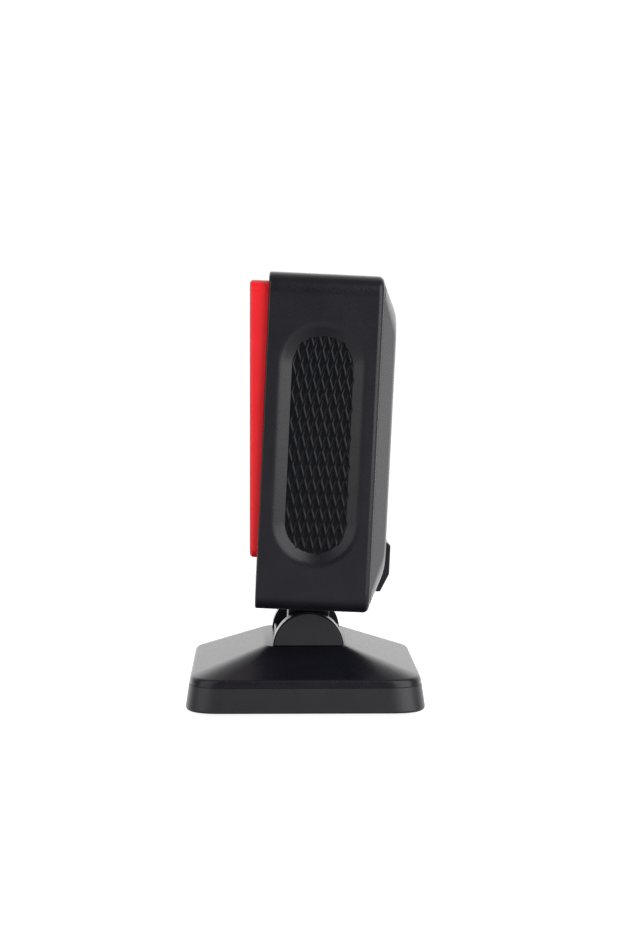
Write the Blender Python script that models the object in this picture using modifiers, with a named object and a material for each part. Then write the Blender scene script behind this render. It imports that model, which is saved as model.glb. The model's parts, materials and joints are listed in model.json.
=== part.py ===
"""Hands-free barcode scanner: a boxy scanning head that tilts on a square weighted base.

Units are metres, +Z is up and the head's scan window faces -Y.
The origin lies on the resting surface under the centre of the base.
Head parts are modelled in the head's own frame, whose origin is the hinge axis,
and are parented to an empty on that axis that leans the head back.
"""

import math

import bmesh
import bpy
from mathutils import Matrix, Vector

MM = 0.001
GAP = 0.3 * MM               # clearance between neighbouring pieces
OVERSHOOT = 2 * MM           # how far a cutter reaches past the face that it opens

# Hinge
AXIS_Y = 1.1 * MM            # the hinge axis is parallel to X
AXIS_Z = 26 * MM
LEAN = math.radians(2.5)     # the head's backward lean at rest
EAR_RADIUS = 12.2 * MM       # an ear is a half disc that stands on the plateau
EAR_CENTRE_Z = 20.7 * MM
EAR_OUTER = 23.2 * MM        # distance of an ear's outer face from the middle
EAR_INNER = 16.8 * MM
SADDLE_HALF = 11.5 * MM      # a low saddle on the plateau joins the ears
SADDLE_Z = 23.2 * MM
KNUCKLE_RADIUS = 7.1 * MM    # the neck's round foot between the ears
PIN_RADIUS = 2 * MM
CAP_DEPTH = 1.2 * MM         # recess that holds a D-shaped hinge cap
CAP_RIM = 0.55 * MM          # the ear's rim left standing round that recess
CAP_FLOOR = 21.55 * MM       # the straight lower edge of the recess
HEX_DEPTH = 3.6 * MM         # pocket behind the cap for the pin's head or its nut
HEX_RADIUS = 4.25 * MM
WASHER_THICKNESS = 0.8 * MM

# Base
BASE_HALF = 41 * MM          # half the base's side at the bottom
RIM_HALF = 39.3 * MM         # the same where the wall meets the sloping top
FOOT_HEIGHT = 1.2 * MM       # the tray's underside is this far above the surface
RIM_Z = 12.1 * MM
PARTING_Z = 9.7 * MM
PLATEAU_Z = 21.2 * MM
PLATEAU_HALF_X = 23.4 * MM
PLATEAU_HALF_Y = 14 * MM
BASE_CORNER = 10.8 * MM
PLATEAU_CORNER = 3.6 * MM
TRAY_WALL = 2 * MM
TRAY_FLOOR_Z = FOOT_HEIGHT + TRAY_WALL
FOOT_OFFSET = 29.6 * MM
FOOT_RADIUS = 5 * MM
FOOT_RECESS = 0.8 * MM
BASE_SCREW_OFFSET = 33 * MM
WELL_TOP = 6 * MM            # top of the wells round the base screws
BALLAST_HALF = 27 * MM
BALLAST_THICKNESS = 4 * MM

# Head, in its own frame: x across, y to the rear, z up from the hinge axis
HEAD_HALF = 39 * MM
HEAD_BOTTOM = 9 * MM
HEAD_TOP = 122.4 * MM
HEAD_FRONT = -18.9 * MM
HEAD_REAR = 19.6 * MM
HEAD_MID_Z = (HEAD_BOTTOM + HEAD_TOP) / 2
HEAD_CORNER = 5 * MM
HEAD_WALL = 2.6 * MM
FRONT_WALL = 3.6 * MM
FRONT_INSIDE = HEAD_FRONT + FRONT_WALL

# Rear cover
COVER_FRONT = HEAD_REAR + GAP
COVER_REAR = 25 * MM
COVER_EDGE_INSET = 2.1 * MM      # the cover's outline, in from the casing's
COVER_FLAT_INSET = 12.2 * MM     # the flat back's outline, in from the casing's
COVER_WALL = 2 * MM
SKIRT_DEPTH = 5 * MM

# Cable port at the foot of the rear cover
HOOD_HALF = 9.5 * MM
HOOD_REAR = 27.8 * MM
HOOD_TOP = 30.6 * MM
HOOD_BEND_Z = 19.5 * MM
HOOD_FOOT_Y = 24.9 * MM
HOOD_FOOT_Z = 13.2 * MM
PLUG_HALF = 6.2 * MM             # the plug's way up into the socket
PLUG_FRONT = 17.4 * MM
PLUG_REAR = 23.8 * MM
SOCKET_BOTTOM = 17.6 * MM
SOCKET_TOP = 27.1 * MM
SOCKET_HALF = 7.6 * MM
SOCKET_REAR = 25.6 * MM

# Side dishes and their grips
DISH_MID_Y = 0.15 * MM
DISH_MID_Z = 65.35 * MM
DISH_HALF_Y = 14.15 * MM
DISH_HALF_Z = 40.4 * MM
DISH_DEPTH = 1.8 * MM
DISH_SLOPE = 3.95 * MM           # width of the sloping wall round the dish
GRIP_DEPTH = 1.5 * MM
GRIP_BACKING = 1.7 * MM

# Front: bezel, window and the opening behind them
BEZEL_HALF = 36 * MM
BEZEL_BOTTOM = 26.3 * MM
BEZEL_TOP = 119.3 * MM
BEZEL_FRONT_BOTTOM = -21.35 * MM  # the front face slopes, so the bezel is a wedge
BEZEL_FRONT_TOP = -25.35 * MM
BEZEL_CORNER = 4 * MM
WINDOW_HALF = 29.8 * MM
WINDOW_BOTTOM = 32.7 * MM
WINDOW_TOP = 112.9 * MM
WINDOW_THICKNESS = 2 * MM
GASKET_THICKNESS = 0.6 * MM
LEDGE_Y = -16.9 * MM             # the front of the ledge that the gasket lies on
LEDGE_WIDTH = 2.4 * MM

# Optics and electronics
OPTICS_Z = (WINDOW_BOTTOM + WINDOW_TOP) / 2
LIGHT_BOARD_Y = -2.6 * MM
BOARD_THICKNESS = 1.6 * MM
LED_OFFSET = 11.5 * MM
IMAGER_FRONT = -0.6 * MM
IMAGER_REAR = 8.6 * MM
IMAGER_HALF = 11 * MM
LENS_BARREL_RADIUS = 6.4 * MM
LENS_BORE = 4.8 * MM
MAIN_BOARD_Y = 14.2 * MM
MAIN_BOARD_HALF = 33.4 * MM
MAIN_BOARD_BOTTOM = 16.1 * MM
MAIN_BOARD_TOP = 102.7 * MM
BOARD_SCREW_X = 30.9 * MM
BOARD_SCREW_ZS = (45 * MM, 95 * MM)
REAR_SCREW_X = 20 * MM
REAR_SCREW_Z = 25.7 * MM
NECK_SCREW_X = 9 * MM
NECK_SCREW_Y = 4.4 * MM
LIGHT_PIPE_Z = 17.7 * MM

MATERIALS = {
    # name: (colour, roughness, metallic)
    "black_plastic": ((0.028, 0.028, 0.032), 0.48, 0.0),
    "red_plastic": ((0.80, 0.02, 0.035), 0.30, 0.0),
    "grip_rubber": ((0.016, 0.016, 0.018), 0.55, 0.0),
    "foot_rubber": ((0.02, 0.02, 0.02), 0.80, 0.0),
    "window_tint": ((0.05, 0.01, 0.012), 0.06, 0.0),
    "lens_glass": ((0.12, 0.14, 0.20), 0.04, 0.0),
    "clear_resin": ((0.85, 0.85, 0.80), 0.15, 0.0),
    "circuit_board": ((0.02, 0.16, 0.07), 0.45, 0.0),
    "component_black": ((0.02, 0.02, 0.022), 0.50, 0.0),
    "ribbon_film": ((0.62, 0.38, 0.12), 0.40, 0.0),
    "white_plastic": ((0.80, 0.80, 0.78), 0.45, 0.0),
    "nylon": ((0.75, 0.74, 0.68), 0.50, 0.0),
    "steel": ((0.60, 0.60, 0.62), 0.30, 1.0),
    "cast_steel": ((0.30, 0.30, 0.31), 0.55, 1.0),
}


# ---------------------------------------------------------------- helpers

def make_collection(name):
    collection = bpy.data.collections.new(name)
    bpy.context.scene.collection.children.link(collection)
    return collection


def make_material(name):
    colour, roughness, metallic = MATERIALS[name]
    material = bpy.data.materials.new(name)
    material.use_nodes = True
    shader = material.node_tree.nodes["Principled BSDF"]
    shader.inputs["Base Color"].default_value = (*colour, 1.0)
    shader.inputs["Roughness"].default_value = roughness
    shader.inputs["Metallic"].default_value = metallic
    return material


def cube(low, high):
    """A box between two corners."""
    bm = bmesh.new()
    bmesh.ops.create_cube(bm, size=1.0)
    low, high = Vector(low), Vector(high)
    bmesh.ops.scale(bm, vec=high - low, verts=bm.verts)
    bmesh.ops.translate(bm, vec=(low + high) / 2, verts=bm.verts)
    return bm


def round_edges(bm, chosen, radius, segments):
    """Bevel the edges for which chosen(first corner, second corner) is true."""
    edges = [edge for edge in bm.edges if chosen(edge.verts[0].co, edge.verts[1].co)]
    bmesh.ops.bevel(bm, geom=edges, offset=radius, segments=segments, profile=0.5, affect="EDGES")


def along(axis):
    """Choose the edges that run along an axis, 0 to 2 for X to Z."""
    def chosen(first, second):
        across = [index for index in range(3) if index != axis]
        return all(abs(first[index] - second[index]) < 0.01 * MM for index in across)
    return chosen


def on_plane(axis, value):
    """Choose the edges that lie in a plane square to an axis."""
    def chosen(first, second):
        return abs(first[axis] - value) < 0.01 * MM and abs(second[axis] - value) < 0.01 * MM
    return chosen


def slab(low, high, axis, radius, segments=4):
    """A box whose four edges along an axis are rounded."""
    bm = cube(low, high)
    round_edges(bm, along(axis), radius, segments)
    return bm


def rod(radius, start, end, segments=16):
    """A round bar between two points."""
    start, end = Vector(start), Vector(end)
    bm = bmesh.new()
    bmesh.ops.create_cone(bm, cap_ends=True, segments=segments, radius1=radius, radius2=radius,
                          depth=(end - start).length)
    turn = Vector((0, 0, 1)).rotation_difference(end - start).to_matrix().to_4x4()
    bmesh.ops.transform(bm, matrix=Matrix.Translation((start + end) / 2) @ turn, verts=bm.verts)
    return bm


def arc(centre, radius, first, last, segments):
    """Points on an arc, from the first angle to the last, in degrees."""
    angles = [math.radians(first + (last - first) * step / segments) for step in range(segments + 1)]
    return [(centre[0] + radius * math.cos(a), centre[1] + radius * math.sin(a)) for a in angles]


def prism_x(outline, start, end):
    """A (y, z) outline extruded along X."""
    bm = bmesh.new()
    face = bm.faces.new([bm.verts.new((start, y, z)) for y, z in outline])
    extruded = bmesh.ops.extrude_face_region(bm, geom=[face])["geom"]
    moved = [item for item in extruded if isinstance(item, bmesh.types.BMVert)]
    bmesh.ops.translate(bm, vec=(end - start, 0, 0), verts=moved)
    bmesh.ops.recalc_face_normals(bm, faces=bm.faces)
    return bm


def loft(sections):
    """A closed body through sections with equally many points."""
    bm = bmesh.new()
    rings = [[bm.verts.new(point) for point in section] for section in sections]
    count = len(rings[0])
    for lower, upper in zip(rings, rings[1:]):
        for index in range(count):
            after = (index + 1) % count
            bm.faces.new((lower[index], lower[after], upper[after], upper[index]))
    bm.faces.new(rings[0])
    bm.faces.new(rings[-1])
    bmesh.ops.recalc_face_normals(bm, faces=bm.faces)
    return bm


def rounded_rectangle(half_u, half_v, radius, segments=5, middle_v=0.0):
    """The points of a rectangle with round corners, anticlockwise."""
    points = []
    for side_u, side_v, first in ((1, 1, 0), (-1, 1, 90), (-1, -1, 180), (1, -1, 270)):
        centre = (side_u * (half_u - radius), middle_v + side_v * (half_v - radius))
        points += arc(centre, radius, first, first + 90, segments)
    return points


def level_section(z, half_x, half_y, radius):
    """A rounded rectangle lying at a height."""
    return [(x, y, z) for x, y in rounded_rectangle(half_x, half_y, radius)]


def upright_section(y, inset, radius):
    """The head's outline, drawn in by an inset, at a depth."""
    half_z = HEAD_MID_Z - HEAD_BOTTOM - inset
    outline = rounded_rectangle(HEAD_HALF - inset, half_z, radius, middle_v=HEAD_MID_Z)
    return [(x, y, z) for x, z in outline]


def stadium(half_y, half_z, segments=9):
    """The (y, z) points of a slot with round ends, on the middle of the side dish."""
    top = arc((DISH_MID_Y, DISH_MID_Z + half_z - half_y), half_y, 0, 180, segments)
    bottom = arc((DISH_MID_Y, DISH_MID_Z - half_z + half_y), half_y, 180, 360, segments)
    return top + bottom


def merged(shapes):
    """One mesh holding several bodies that don't touch."""
    together = bmesh.new()
    for shape in shapes:
        mesh = bpy.data.meshes.new("shape")
        shape.to_mesh(mesh)
        shape.free()
        together.from_mesh(mesh)
        bpy.data.meshes.remove(mesh)
    return together


class Builder:
    """Makes objects in one frame: the base's, or the head's under its empty."""

    def __init__(self, parts, cutters, parent=None):
        self.parts = parts
        self.cutters = cutters
        self.parent = parent

    def place(self, name, bm, collection):
        mesh = bpy.data.meshes.new(name)
        bm.to_mesh(mesh)
        bm.free()
        thing = bpy.data.objects.new(name, mesh)
        thing.parent = self.parent
        collection.objects.link(thing)
        return thing

    def part(self, name, bm, material):
        thing = self.place(name, bm, self.parts)
        thing.data.materials.append(bpy.data.materials[material])
        thing.data.shade_smooth()
        thing.data.set_sharp_from_angle(angle=math.radians(35))
        return thing

    def turned(self, name, profile, material, location=(0, 0, 0), rotation=(0, 0, 0), steps=16):
        """A solid turned about its own Z axis from (radius, height) points, top first."""
        bm = bmesh.new()
        points = [bm.verts.new((radius, 0, height)) for radius, height in profile]
        for upper, lower in zip(points, points[1:]):
            bm.edges.new((upper, lower))
        thing = self.part(name, bm, material)
        thing.location = location
        thing.rotation_euler = rotation
        screw = thing.modifiers.new("turn", "SCREW")
        screw.steps = screw.render_steps = steps
        screw.use_merge_vertices = True
        screw.merge_threshold = 0.00001
        screw.use_smooth_shade = True
        return thing

    def change(self, thing, operation, shapes):
        """Cut shapes from an object or join them to it."""
        count = len(thing.modifiers) + 1
        tool = self.place(f"{thing.name}_{operation.lower()}_{count}", merged(shapes), self.cutters)
        tool.hide_render = True
        tool.display_type = "WIRE"
        change = thing.modifiers.new(operation.lower(), "BOOLEAN")
        change.operation = operation
        change.object = tool
        return tool

    def cut(self, thing, *shapes):
        return self.change(thing, "DIFFERENCE", shapes)

    def join(self, thing, *shapes):
        return self.change(thing, "UNION", shapes)

    def screw(self, name, location, rotation, head_radius, head_height, shank_radius, length):
        """A cross-recessed screw: its head stands on z = 0 and its shank points down."""
        profile = [(0, head_height), (0.6 * head_radius, head_height),
                   (head_radius, 0.55 * head_height), (head_radius, 0), (shank_radius, 0),
                   (shank_radius, -length + shank_radius), (0, -length)]
        thing = self.turned(name, profile, "steel", location, rotation, steps=12)
        long, short = 0.55 * head_radius, 0.14 * head_radius
        cross = [(long, -short), (long, short), (short, short), (short, long), (-short, long),
                 (-short, short), (-long, short), (-long, -short), (-short, -short),
                 (-short, -long), (short, -long), (short, -short)]
        sections = [[(x, y, z) for x, y in cross] for z in (0.4 * head_height, 2 * head_height)]
        tool = self.cut(thing, loft(sections))
        tool.location = location
        tool.rotation_euler = rotation
        return thing


# ---------------------------------------------------------------- base

def wall_half(z):
    """Half the base's side at a height, on the drafted wall."""
    return BASE_HALF + (RIM_HALF - BASE_HALF) * (z - FOOT_HEIGHT) / (RIM_Z - FOOT_HEIGHT)


def wall_section(z, inset=0.0):
    half = wall_half(z) - inset
    return level_section(z, half, half, BASE_CORNER - inset)


def slope_section(share, drop=0.0):
    """A section of the sloping top, from the rim at 0 to the plateau at 1."""
    return level_section(RIM_Z + share * (PLATEAU_Z - RIM_Z) - drop,
                         RIM_HALF + share * (PLATEAU_HALF_X - RIM_HALF),
                         RIM_HALF + share * (PLATEAU_HALF_Y - RIM_HALF),
                         BASE_CORNER + share * (PLATEAU_CORNER - BASE_CORNER))


def base_screw_places():
    offset = BASE_SCREW_OFFSET
    return [(offset, 0), (0, offset), (-offset, 0), (0, -offset)]


def base_tray(base):
    """The lower shell, with wells for the screws and recesses for the feet."""
    edge = 0.8 * MM
    lip_top = PARTING_Z - GAP / 2
    outer = [wall_section(FOOT_HEIGHT, edge), wall_section(FOOT_HEIGHT + 0.3 * edge, 0.35 * edge),
             wall_section(FOOT_HEIGHT + edge), wall_section(lip_top)]
    tray = base.part("base_tray", loft(outer), "black_plastic")
    cavity = [wall_section(TRAY_FLOOR_Z, TRAY_WALL), wall_section(lip_top + OVERSHOOT, TRAY_WALL)]
    base.cut(tray, loft(cavity))
    well_radius = 4.4 * MM
    base.join(tray, *[rod(well_radius, (x, y, TRAY_FLOOR_Z - GAP), (x, y, WELL_TOP), 14)
                      for x, y in base_screw_places()])
    seat = 4.2 * MM
    base.cut(tray, *[rod(3.2 * MM, (x, y, FOOT_HEIGHT - OVERSHOOT), (x, y, seat), 14)
                     for x, y in base_screw_places()])
    base.cut(tray, *[rod(1.9 * MM, (x, y, seat - GAP), (x, y, WELL_TOP + OVERSHOOT), 10)
                     for x, y in base_screw_places()])
    recess_top = FOOT_HEIGHT + FOOT_RECESS
    base.cut(tray, *[rod(FOOT_RADIUS + GAP, (x, y, FOOT_HEIGHT - OVERSHOOT), (x, y, recess_top), 20)
                     for x in (-FOOT_OFFSET, FOOT_OFFSET) for y in (-FOOT_OFFSET, FOOT_OFFSET)])


def ear_outline(radius, floor):
    """A D standing on a floor: an arc on the plateau's level, on straight sides below it."""
    rise = max(floor - EAR_CENTRE_Z, 0)
    first = math.degrees(math.asin(rise / radius))
    outline = arc((AXIS_Y, EAR_CENTRE_Z), radius, first, 180 - first, 16)
    if floor < EAR_CENTRE_Z:
        outline += [(AXIS_Y - radius, floor), (AXIS_Y + radius, floor)]
    return outline


def base_cover(base):
    """The upper shell: a blunt pyramid with the hinge's ears and the knuckle's trough."""
    band = PARTING_Z + GAP / 2
    outer = [wall_section(band), wall_section(RIM_Z - 1.0 * MM),
             wall_section(RIM_Z - 0.3 * MM, 0.15 * MM), slope_section(0.04),
             slope_section(0.97), slope_section(1.0, 0.05 * MM)]
    cover = base.part("base_cover", loft(outer), "black_plastic")
    lip_bottom = 8 * MM
    lip_half = wall_half(PARTING_Z) - TRAY_WALL - GAP
    corner = BASE_CORNER - TRAY_WALL - GAP
    base.join(cover, loft([level_section(z, lip_half, lip_half, corner) for z in (lip_bottom, RIM_Z)]))
    inside = lip_half - 1.5 * MM
    roof = 2.5 * MM
    base.cut(cover, loft([level_section(lip_bottom - OVERSHOOT, inside, inside, corner),
                          level_section(10.8 * MM, inside, inside, corner),
                          slope_section(1.0, roof)]))
    trough_radius = KNUCKLE_RADIUS + 0.5 * MM
    trough_wall = 2 * MM
    block_y = trough_radius + trough_wall
    base.join(cover, slab((-EAR_OUTER + 1 * MM, AXIS_Y - block_y, AXIS_Z - block_y),
                          (EAR_OUTER - 1 * MM, AXIS_Y + block_y, PLATEAU_Z - 1 * MM), 0, 1 * MM, 1))
    post_radius = 3.4 * MM
    post_foot = WELL_TOP + GAP
    base.join(cover, *[rod(post_radius, (x, y, post_foot), (x, y, 12.2 * MM), 14)
                       for x, y in base_screw_places()])
    ear = ear_outline(EAR_RADIUS, PLATEAU_Z - 2 * MM)
    base.join(cover, prism_x(ear, -EAR_OUTER, -EAR_INNER), prism_x(ear, EAR_INNER, EAR_OUTER))
    base.join(cover, slab((-EAR_INNER - 1 * MM, AXIS_Y - SADDLE_HALF, PLATEAU_Z - 1 * MM),
                          (EAR_INNER + 1 * MM, AXIS_Y + SADDLE_HALF, SADDLE_Z), 0, 1 * MM, 1))
    trough = [(AXIS_Y + trough_radius, PLATEAU_Z + 20 * MM),
              (AXIS_Y - trough_radius, PLATEAU_Z + 20 * MM),
              *arc((AXIS_Y, AXIS_Z), trough_radius, 180, 360, 14)]
    base.cut(cover, prism_x(trough, -EAR_INNER, EAR_INNER))
    base.cut(cover, *[rod(1.8 * MM, (x, y, post_foot - OVERSHOOT), (x, y, 11 * MM), 10)
                      for x, y in base_screw_places()])
    recess = ear_outline(EAR_RADIUS - CAP_RIM, CAP_FLOOR)
    for side in (-1, 1):
        outside = side * (EAR_OUTER + OVERSHOOT)
        base.cut(cover, prism_x(recess, side * (EAR_OUTER - CAP_DEPTH), outside))
        hex_floor = side * (EAR_OUTER - CAP_DEPTH - HEX_DEPTH)
        base.cut(cover, rod(HEX_RADIUS, (hex_floor, AXIS_Y, AXIS_Z), (outside, AXIS_Y, AXIS_Z), 6))
        base.cut(cover, rod(PIN_RADIUS + GAP, (side * (EAR_INNER - OVERSHOOT), AXIS_Y, AXIS_Z),
                            (hex_floor + side * GAP, AXIS_Y, AXIS_Z)))


def ballast(base):
    """The steel plate that keeps the tilted head from tipping the base over."""
    floor = TRAY_FLOOR_Z + GAP
    base.part("ballast_plate", slab((-BALLAST_HALF, -BALLAST_HALF, floor),
                                    (BALLAST_HALF, BALLAST_HALF, floor + BALLAST_THICKNESS), 2, 6 * MM),
              "cast_steel")


def feet(base):
    top = FOOT_HEIGHT + FOOT_RECESS - GAP
    profile = [(0, top), (FOOT_RADIUS, top), (FOOT_RADIUS, 0.4 * MM), (FOOT_RADIUS - 0.5 * MM, 0), (0, 0)]
    corners = [(-1, -1), (1, -1), (1, 1), (-1, 1)]
    for number, (side_x, side_y) in enumerate(corners, start=1):
        place = (side_x * FOOT_OFFSET, side_y * FOOT_OFFSET, 0)
        base.turned(f"foot_{number}", profile, "foot_rubber", place, steps=20)


def base_screws(base):
    for number, (x, y) in enumerate(base_screw_places(), start=1):
        base.screw(f"base_screw_{number}", (x, y, 3.9 * MM), (math.pi, 0, 0),
                   head_radius=2.7 * MM, head_height=1.8 * MM, shank_radius=1.5 * MM, length=6.8 * MM)


def hinge(base):
    """The pin, its nut and washers, and the D-shaped caps that hide them."""
    hex_floor = EAR_OUTER - CAP_DEPTH - HEX_DEPTH
    head = 2.8 * MM
    hex_size = HEX_RADIUS - GAP
    pin = base.part("hinge_pin", rod(hex_size, (-hex_floor - GAP - head, AXIS_Y, AXIS_Z),
                                     (-hex_floor - GAP, AXIS_Y, AXIS_Z), 6), "steel")
    pin_end = EAR_OUTER - CAP_DEPTH - GAP
    base.join(pin, rod(PIN_RADIUS, (-hex_floor - GAP - head / 2, AXIS_Y, AXIS_Z),
                       (pin_end, AXIS_Y, AXIS_Z), 18))
    ring_bore = PIN_RADIUS + GAP

    def ring(name, outer, first, last, material, segments):
        washer = base.part(name, rod(outer, (first, AXIS_Y, AXIS_Z), (last, AXIS_Y, AXIS_Z), segments),
                           material)
        base.cut(washer, rod(ring_bore, (first - OVERSHOOT, AXIS_Y, AXIS_Z),
                             (last + OVERSHOOT, AXIS_Y, AXIS_Z)))

    spring_end = hex_floor + GAP + 0.6 * MM
    ring("spring_washer", 3.5 * MM, hex_floor + GAP, spring_end, "steel", 18)
    ring("hinge_nut", hex_size, spring_end + GAP, pin_end - 0.2 * MM, "steel", 6)
    for side, word in ((-1, "left"), (1, "right")):
        faces = sorted((side * (EAR_INNER - GAP), side * (EAR_INNER - GAP - WASHER_THICKNESS)))
        ring(f"friction_washer_{word}", 5.6 * MM, *faces, "nylon", 22)
        cap = ear_outline(EAR_RADIUS - CAP_RIM - GAP, CAP_FLOOR + GAP)
        inner = side * (EAR_OUTER - CAP_DEPTH + GAP)
        base.part(f"hinge_cap_{word}", prism_x(cap, inner, side * EAR_OUTER), "black_plastic")


# ---------------------------------------------------------------- head shells

def window_slab(y_low, y_high, grow, radius):
    """A rounded slab over the window's outline, grown or shrunk on every side."""
    return slab((-WINDOW_HALF - grow, y_low, WINDOW_BOTTOM - grow),
                (WINDOW_HALF + grow, y_high, WINDOW_TOP + grow), 1, radius)


def peg_places():
    x = BEZEL_HALF - 2.9 * MM
    return [(side * x, z) for side in (-1, 1) for z in (BEZEL_BOTTOM + 3.4 * MM, BEZEL_TOP - 3.4 * MM)]


def board_screw_places():
    return [(side * BOARD_SCREW_X, z) for side in (-1, 1) for z in BOARD_SCREW_ZS]


def head_casing(head):
    """The main shell: a box open at the rear, with side dishes and a window opening."""
    bm = cube((-HEAD_HALF, HEAD_FRONT, HEAD_BOTTOM), (HEAD_HALF, HEAD_REAR, HEAD_TOP))
    round_edges(bm, along(1), HEAD_CORNER, 6)
    round_edges(bm, on_plane(1, HEAD_FRONT), 0.8 * MM, 2)
    round_edges(bm, on_plane(1, HEAD_REAR), 2 * MM, 3)
    casing = head.part("head_casing", bm, "black_plastic")
    inside = HEAD_HALF - HEAD_WALL
    head.cut(casing, slab((-inside, FRONT_INSIDE, HEAD_BOTTOM + HEAD_WALL),
                          (inside, HEAD_REAR + OVERSHOOT, HEAD_TOP - HEAD_WALL),
                          1, HEAD_CORNER - HEAD_WALL, 4))
    grip_floor = HEAD_HALF - DISH_DEPTH - GRIP_DEPTH
    grip_half_y = DISH_HALF_Y - DISH_SLOPE
    grip_half_z = DISH_HALF_Z - DISH_SLOPE
    pad = stadium(grip_half_y + 2 * MM, grip_half_z + 2 * MM, 6)
    pocket = stadium(grip_half_y, grip_half_z)
    flare = DISH_SLOPE / DISH_DEPTH
    for side in (-1, 1):
        head.join(casing, prism_x(pad, side * (grip_floor - GRIP_BACKING), side * (inside + 1 * MM)))
        lip = 0.4 * MM
        sections = [[(side * x, y, z) for y, z in stadium(DISH_HALF_Y + grow, DISH_HALF_Z + grow)]
                    for x, grow in ((HEAD_HALF + lip, lip * flare), (HEAD_HALF - DISH_DEPTH, -DISH_SLOPE))]
        head.cut(casing, loft(sections))
        head.cut(casing, prism_x(pocket, side * grip_floor, side * (HEAD_HALF - DISH_DEPTH + lip / 4)))
    boss_top = MAIN_BOARD_Y - GAP
    post_top = COVER_REAR - COVER_WALL - 6 * MM
    root = FRONT_INSIDE - 1 * MM
    head.join(casing, *[rod(2.7 * MM, (x, root, z), (x, boss_top, z), 14)
                        for x, z in board_screw_places()])
    head.join(casing, *[rod(3.2 * MM, (side * REAR_SCREW_X, root, REAR_SCREW_Z),
                            (side * REAR_SCREW_X, post_top, REAR_SCREW_Z), 14) for side in (-1, 1)])
    head.cut(casing, *[rod(1.3 * MM, (x, boss_top - 8 * MM, z), (x, boss_top + OVERSHOOT, z), 10)
                       for x, z in board_screw_places()],
             *[rod(1.8 * MM, (side * REAR_SCREW_X, post_top - 10 * MM, REAR_SCREW_Z),
                   (side * REAR_SCREW_X, post_top + OVERSHOOT, REAR_SCREW_Z), 12) for side in (-1, 1)],
             *[rod(1.5 * MM, (x, y, HEAD_BOTTOM - OVERSHOOT),
                   (x, y, HEAD_BOTTOM + HEAD_WALL + OVERSHOOT), 10) for x, y in neck_screw_places()],
             *[rod(1.5 * MM, (x, HEAD_FRONT - OVERSHOOT, z), (x, FRONT_INSIDE + OVERSHOOT, z), 12)
               for x, z in peg_places()],
             rod(1.8 * MM, (0, HEAD_FRONT - OVERSHOOT, LIGHT_PIPE_Z),
                 (0, FRONT_INSIDE + OVERSHOOT, LIGHT_PIPE_Z)))
    head.cut(casing, window_slab(HEAD_FRONT - OVERSHOOT, LEDGE_Y, GAP, 2.3 * MM))
    head.cut(casing, window_slab(LEDGE_Y - OVERSHOOT, FRONT_INSIDE + 1 * MM, -LEDGE_WIDTH, 2 * MM))
    head.cut(casing, cube((-PLUG_HALF, PLUG_FRONT, HEAD_BOTTOM - OVERSHOOT),
                          (PLUG_HALF, HEAD_REAR + OVERSHOOT, HEAD_BOTTOM + HEAD_WALL + OVERSHOOT)))


def rear_cover(head):
    """The bevelled back with the hood over the cable socket."""
    outer = [upright_section(COVER_FRONT, COVER_EDGE_INSET, 3.4 * MM),
             upright_section(COVER_FRONT + 0.6 * MM, COVER_EDGE_INSET + 0.35 * MM, 3.3 * MM),
             upright_section(COVER_REAR - 0.3 * MM, COVER_FLAT_INSET - 0.5 * MM, 2.4 * MM),
             upright_section(COVER_REAR, COVER_FLAT_INSET, 2.2 * MM)]
    cover = head.part("rear_cover", loft(outer), "black_plastic")
    skirt_inset = HEAD_WALL + 0.4 * MM
    skirt_front = COVER_FRONT - SKIRT_DEPTH
    head.join(cover, loft([upright_section(y, skirt_inset, 2 * MM)
                           for y in (skirt_front, COVER_FRONT + 0.5 * MM)]))
    skirt_inside = skirt_inset + 1.6 * MM
    head.cut(cover, loft([upright_section(skirt_front - OVERSHOOT, skirt_inside, 1.5 * MM),
                          upright_section(COVER_FRONT, skirt_inside, 1.5 * MM),
                          upright_section(COVER_REAR - COVER_WALL, COVER_FLAT_INSET + 0.6 * MM, 1.5 * MM)]))
    root = 21.6 * MM
    hood = [(root, HOOD_TOP), (COVER_REAR + 1.6 * MM, HOOD_TOP), (HOOD_REAR, HOOD_TOP - 1.1 * MM),
            (HOOD_REAR, HOOD_BEND_Z), (HOOD_FOOT_Y, HOOD_FOOT_Z), (root, HOOD_FOOT_Z)]
    head.join(cover, prism_x(hood, -HOOD_HALF, HOOD_HALF))
    pocket = SOCKET_HALF + GAP
    head.cut(cover, cube((-pocket, 12 * MM, SOCKET_BOTTOM - GAP),
                         (pocket, SOCKET_REAR + GAP, SOCKET_TOP + GAP)))
    below = HEAD_BOTTOM - OVERSHOOT
    head.cut(cover, cube((-PLUG_HALF, PLUG_FRONT, below), (PLUG_HALF, PLUG_REAR, SOCKET_BOTTOM + 1 * MM)))
    head.cut(cover, cube((-pocket, 12 * MM, below), (pocket, PLUG_FRONT + 1.6 * MM, SOCKET_BOTTOM)))
    sleeve = 5 * MM
    sleeve_front = COVER_REAR - COVER_WALL - 6 * MM + GAP
    for side in (-1, 1):
        x = side * REAR_SCREW_X
        head.join(cover, rod(sleeve, (x, sleeve_front, REAR_SCREW_Z), (x, COVER_REAR - 1 * MM, REAR_SCREW_Z)))
        seat = COVER_REAR - 4.2 * MM
        head.cut(cover, rod(3.4 * MM, (x, seat, REAR_SCREW_Z), (x, COVER_REAR + OVERSHOOT, REAR_SCREW_Z)))
        head.cut(cover, rod(1.9 * MM, (x, sleeve_front - OVERSHOOT, REAR_SCREW_Z),
                            (x, seat + GAP, REAR_SCREW_Z), 12))


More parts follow.
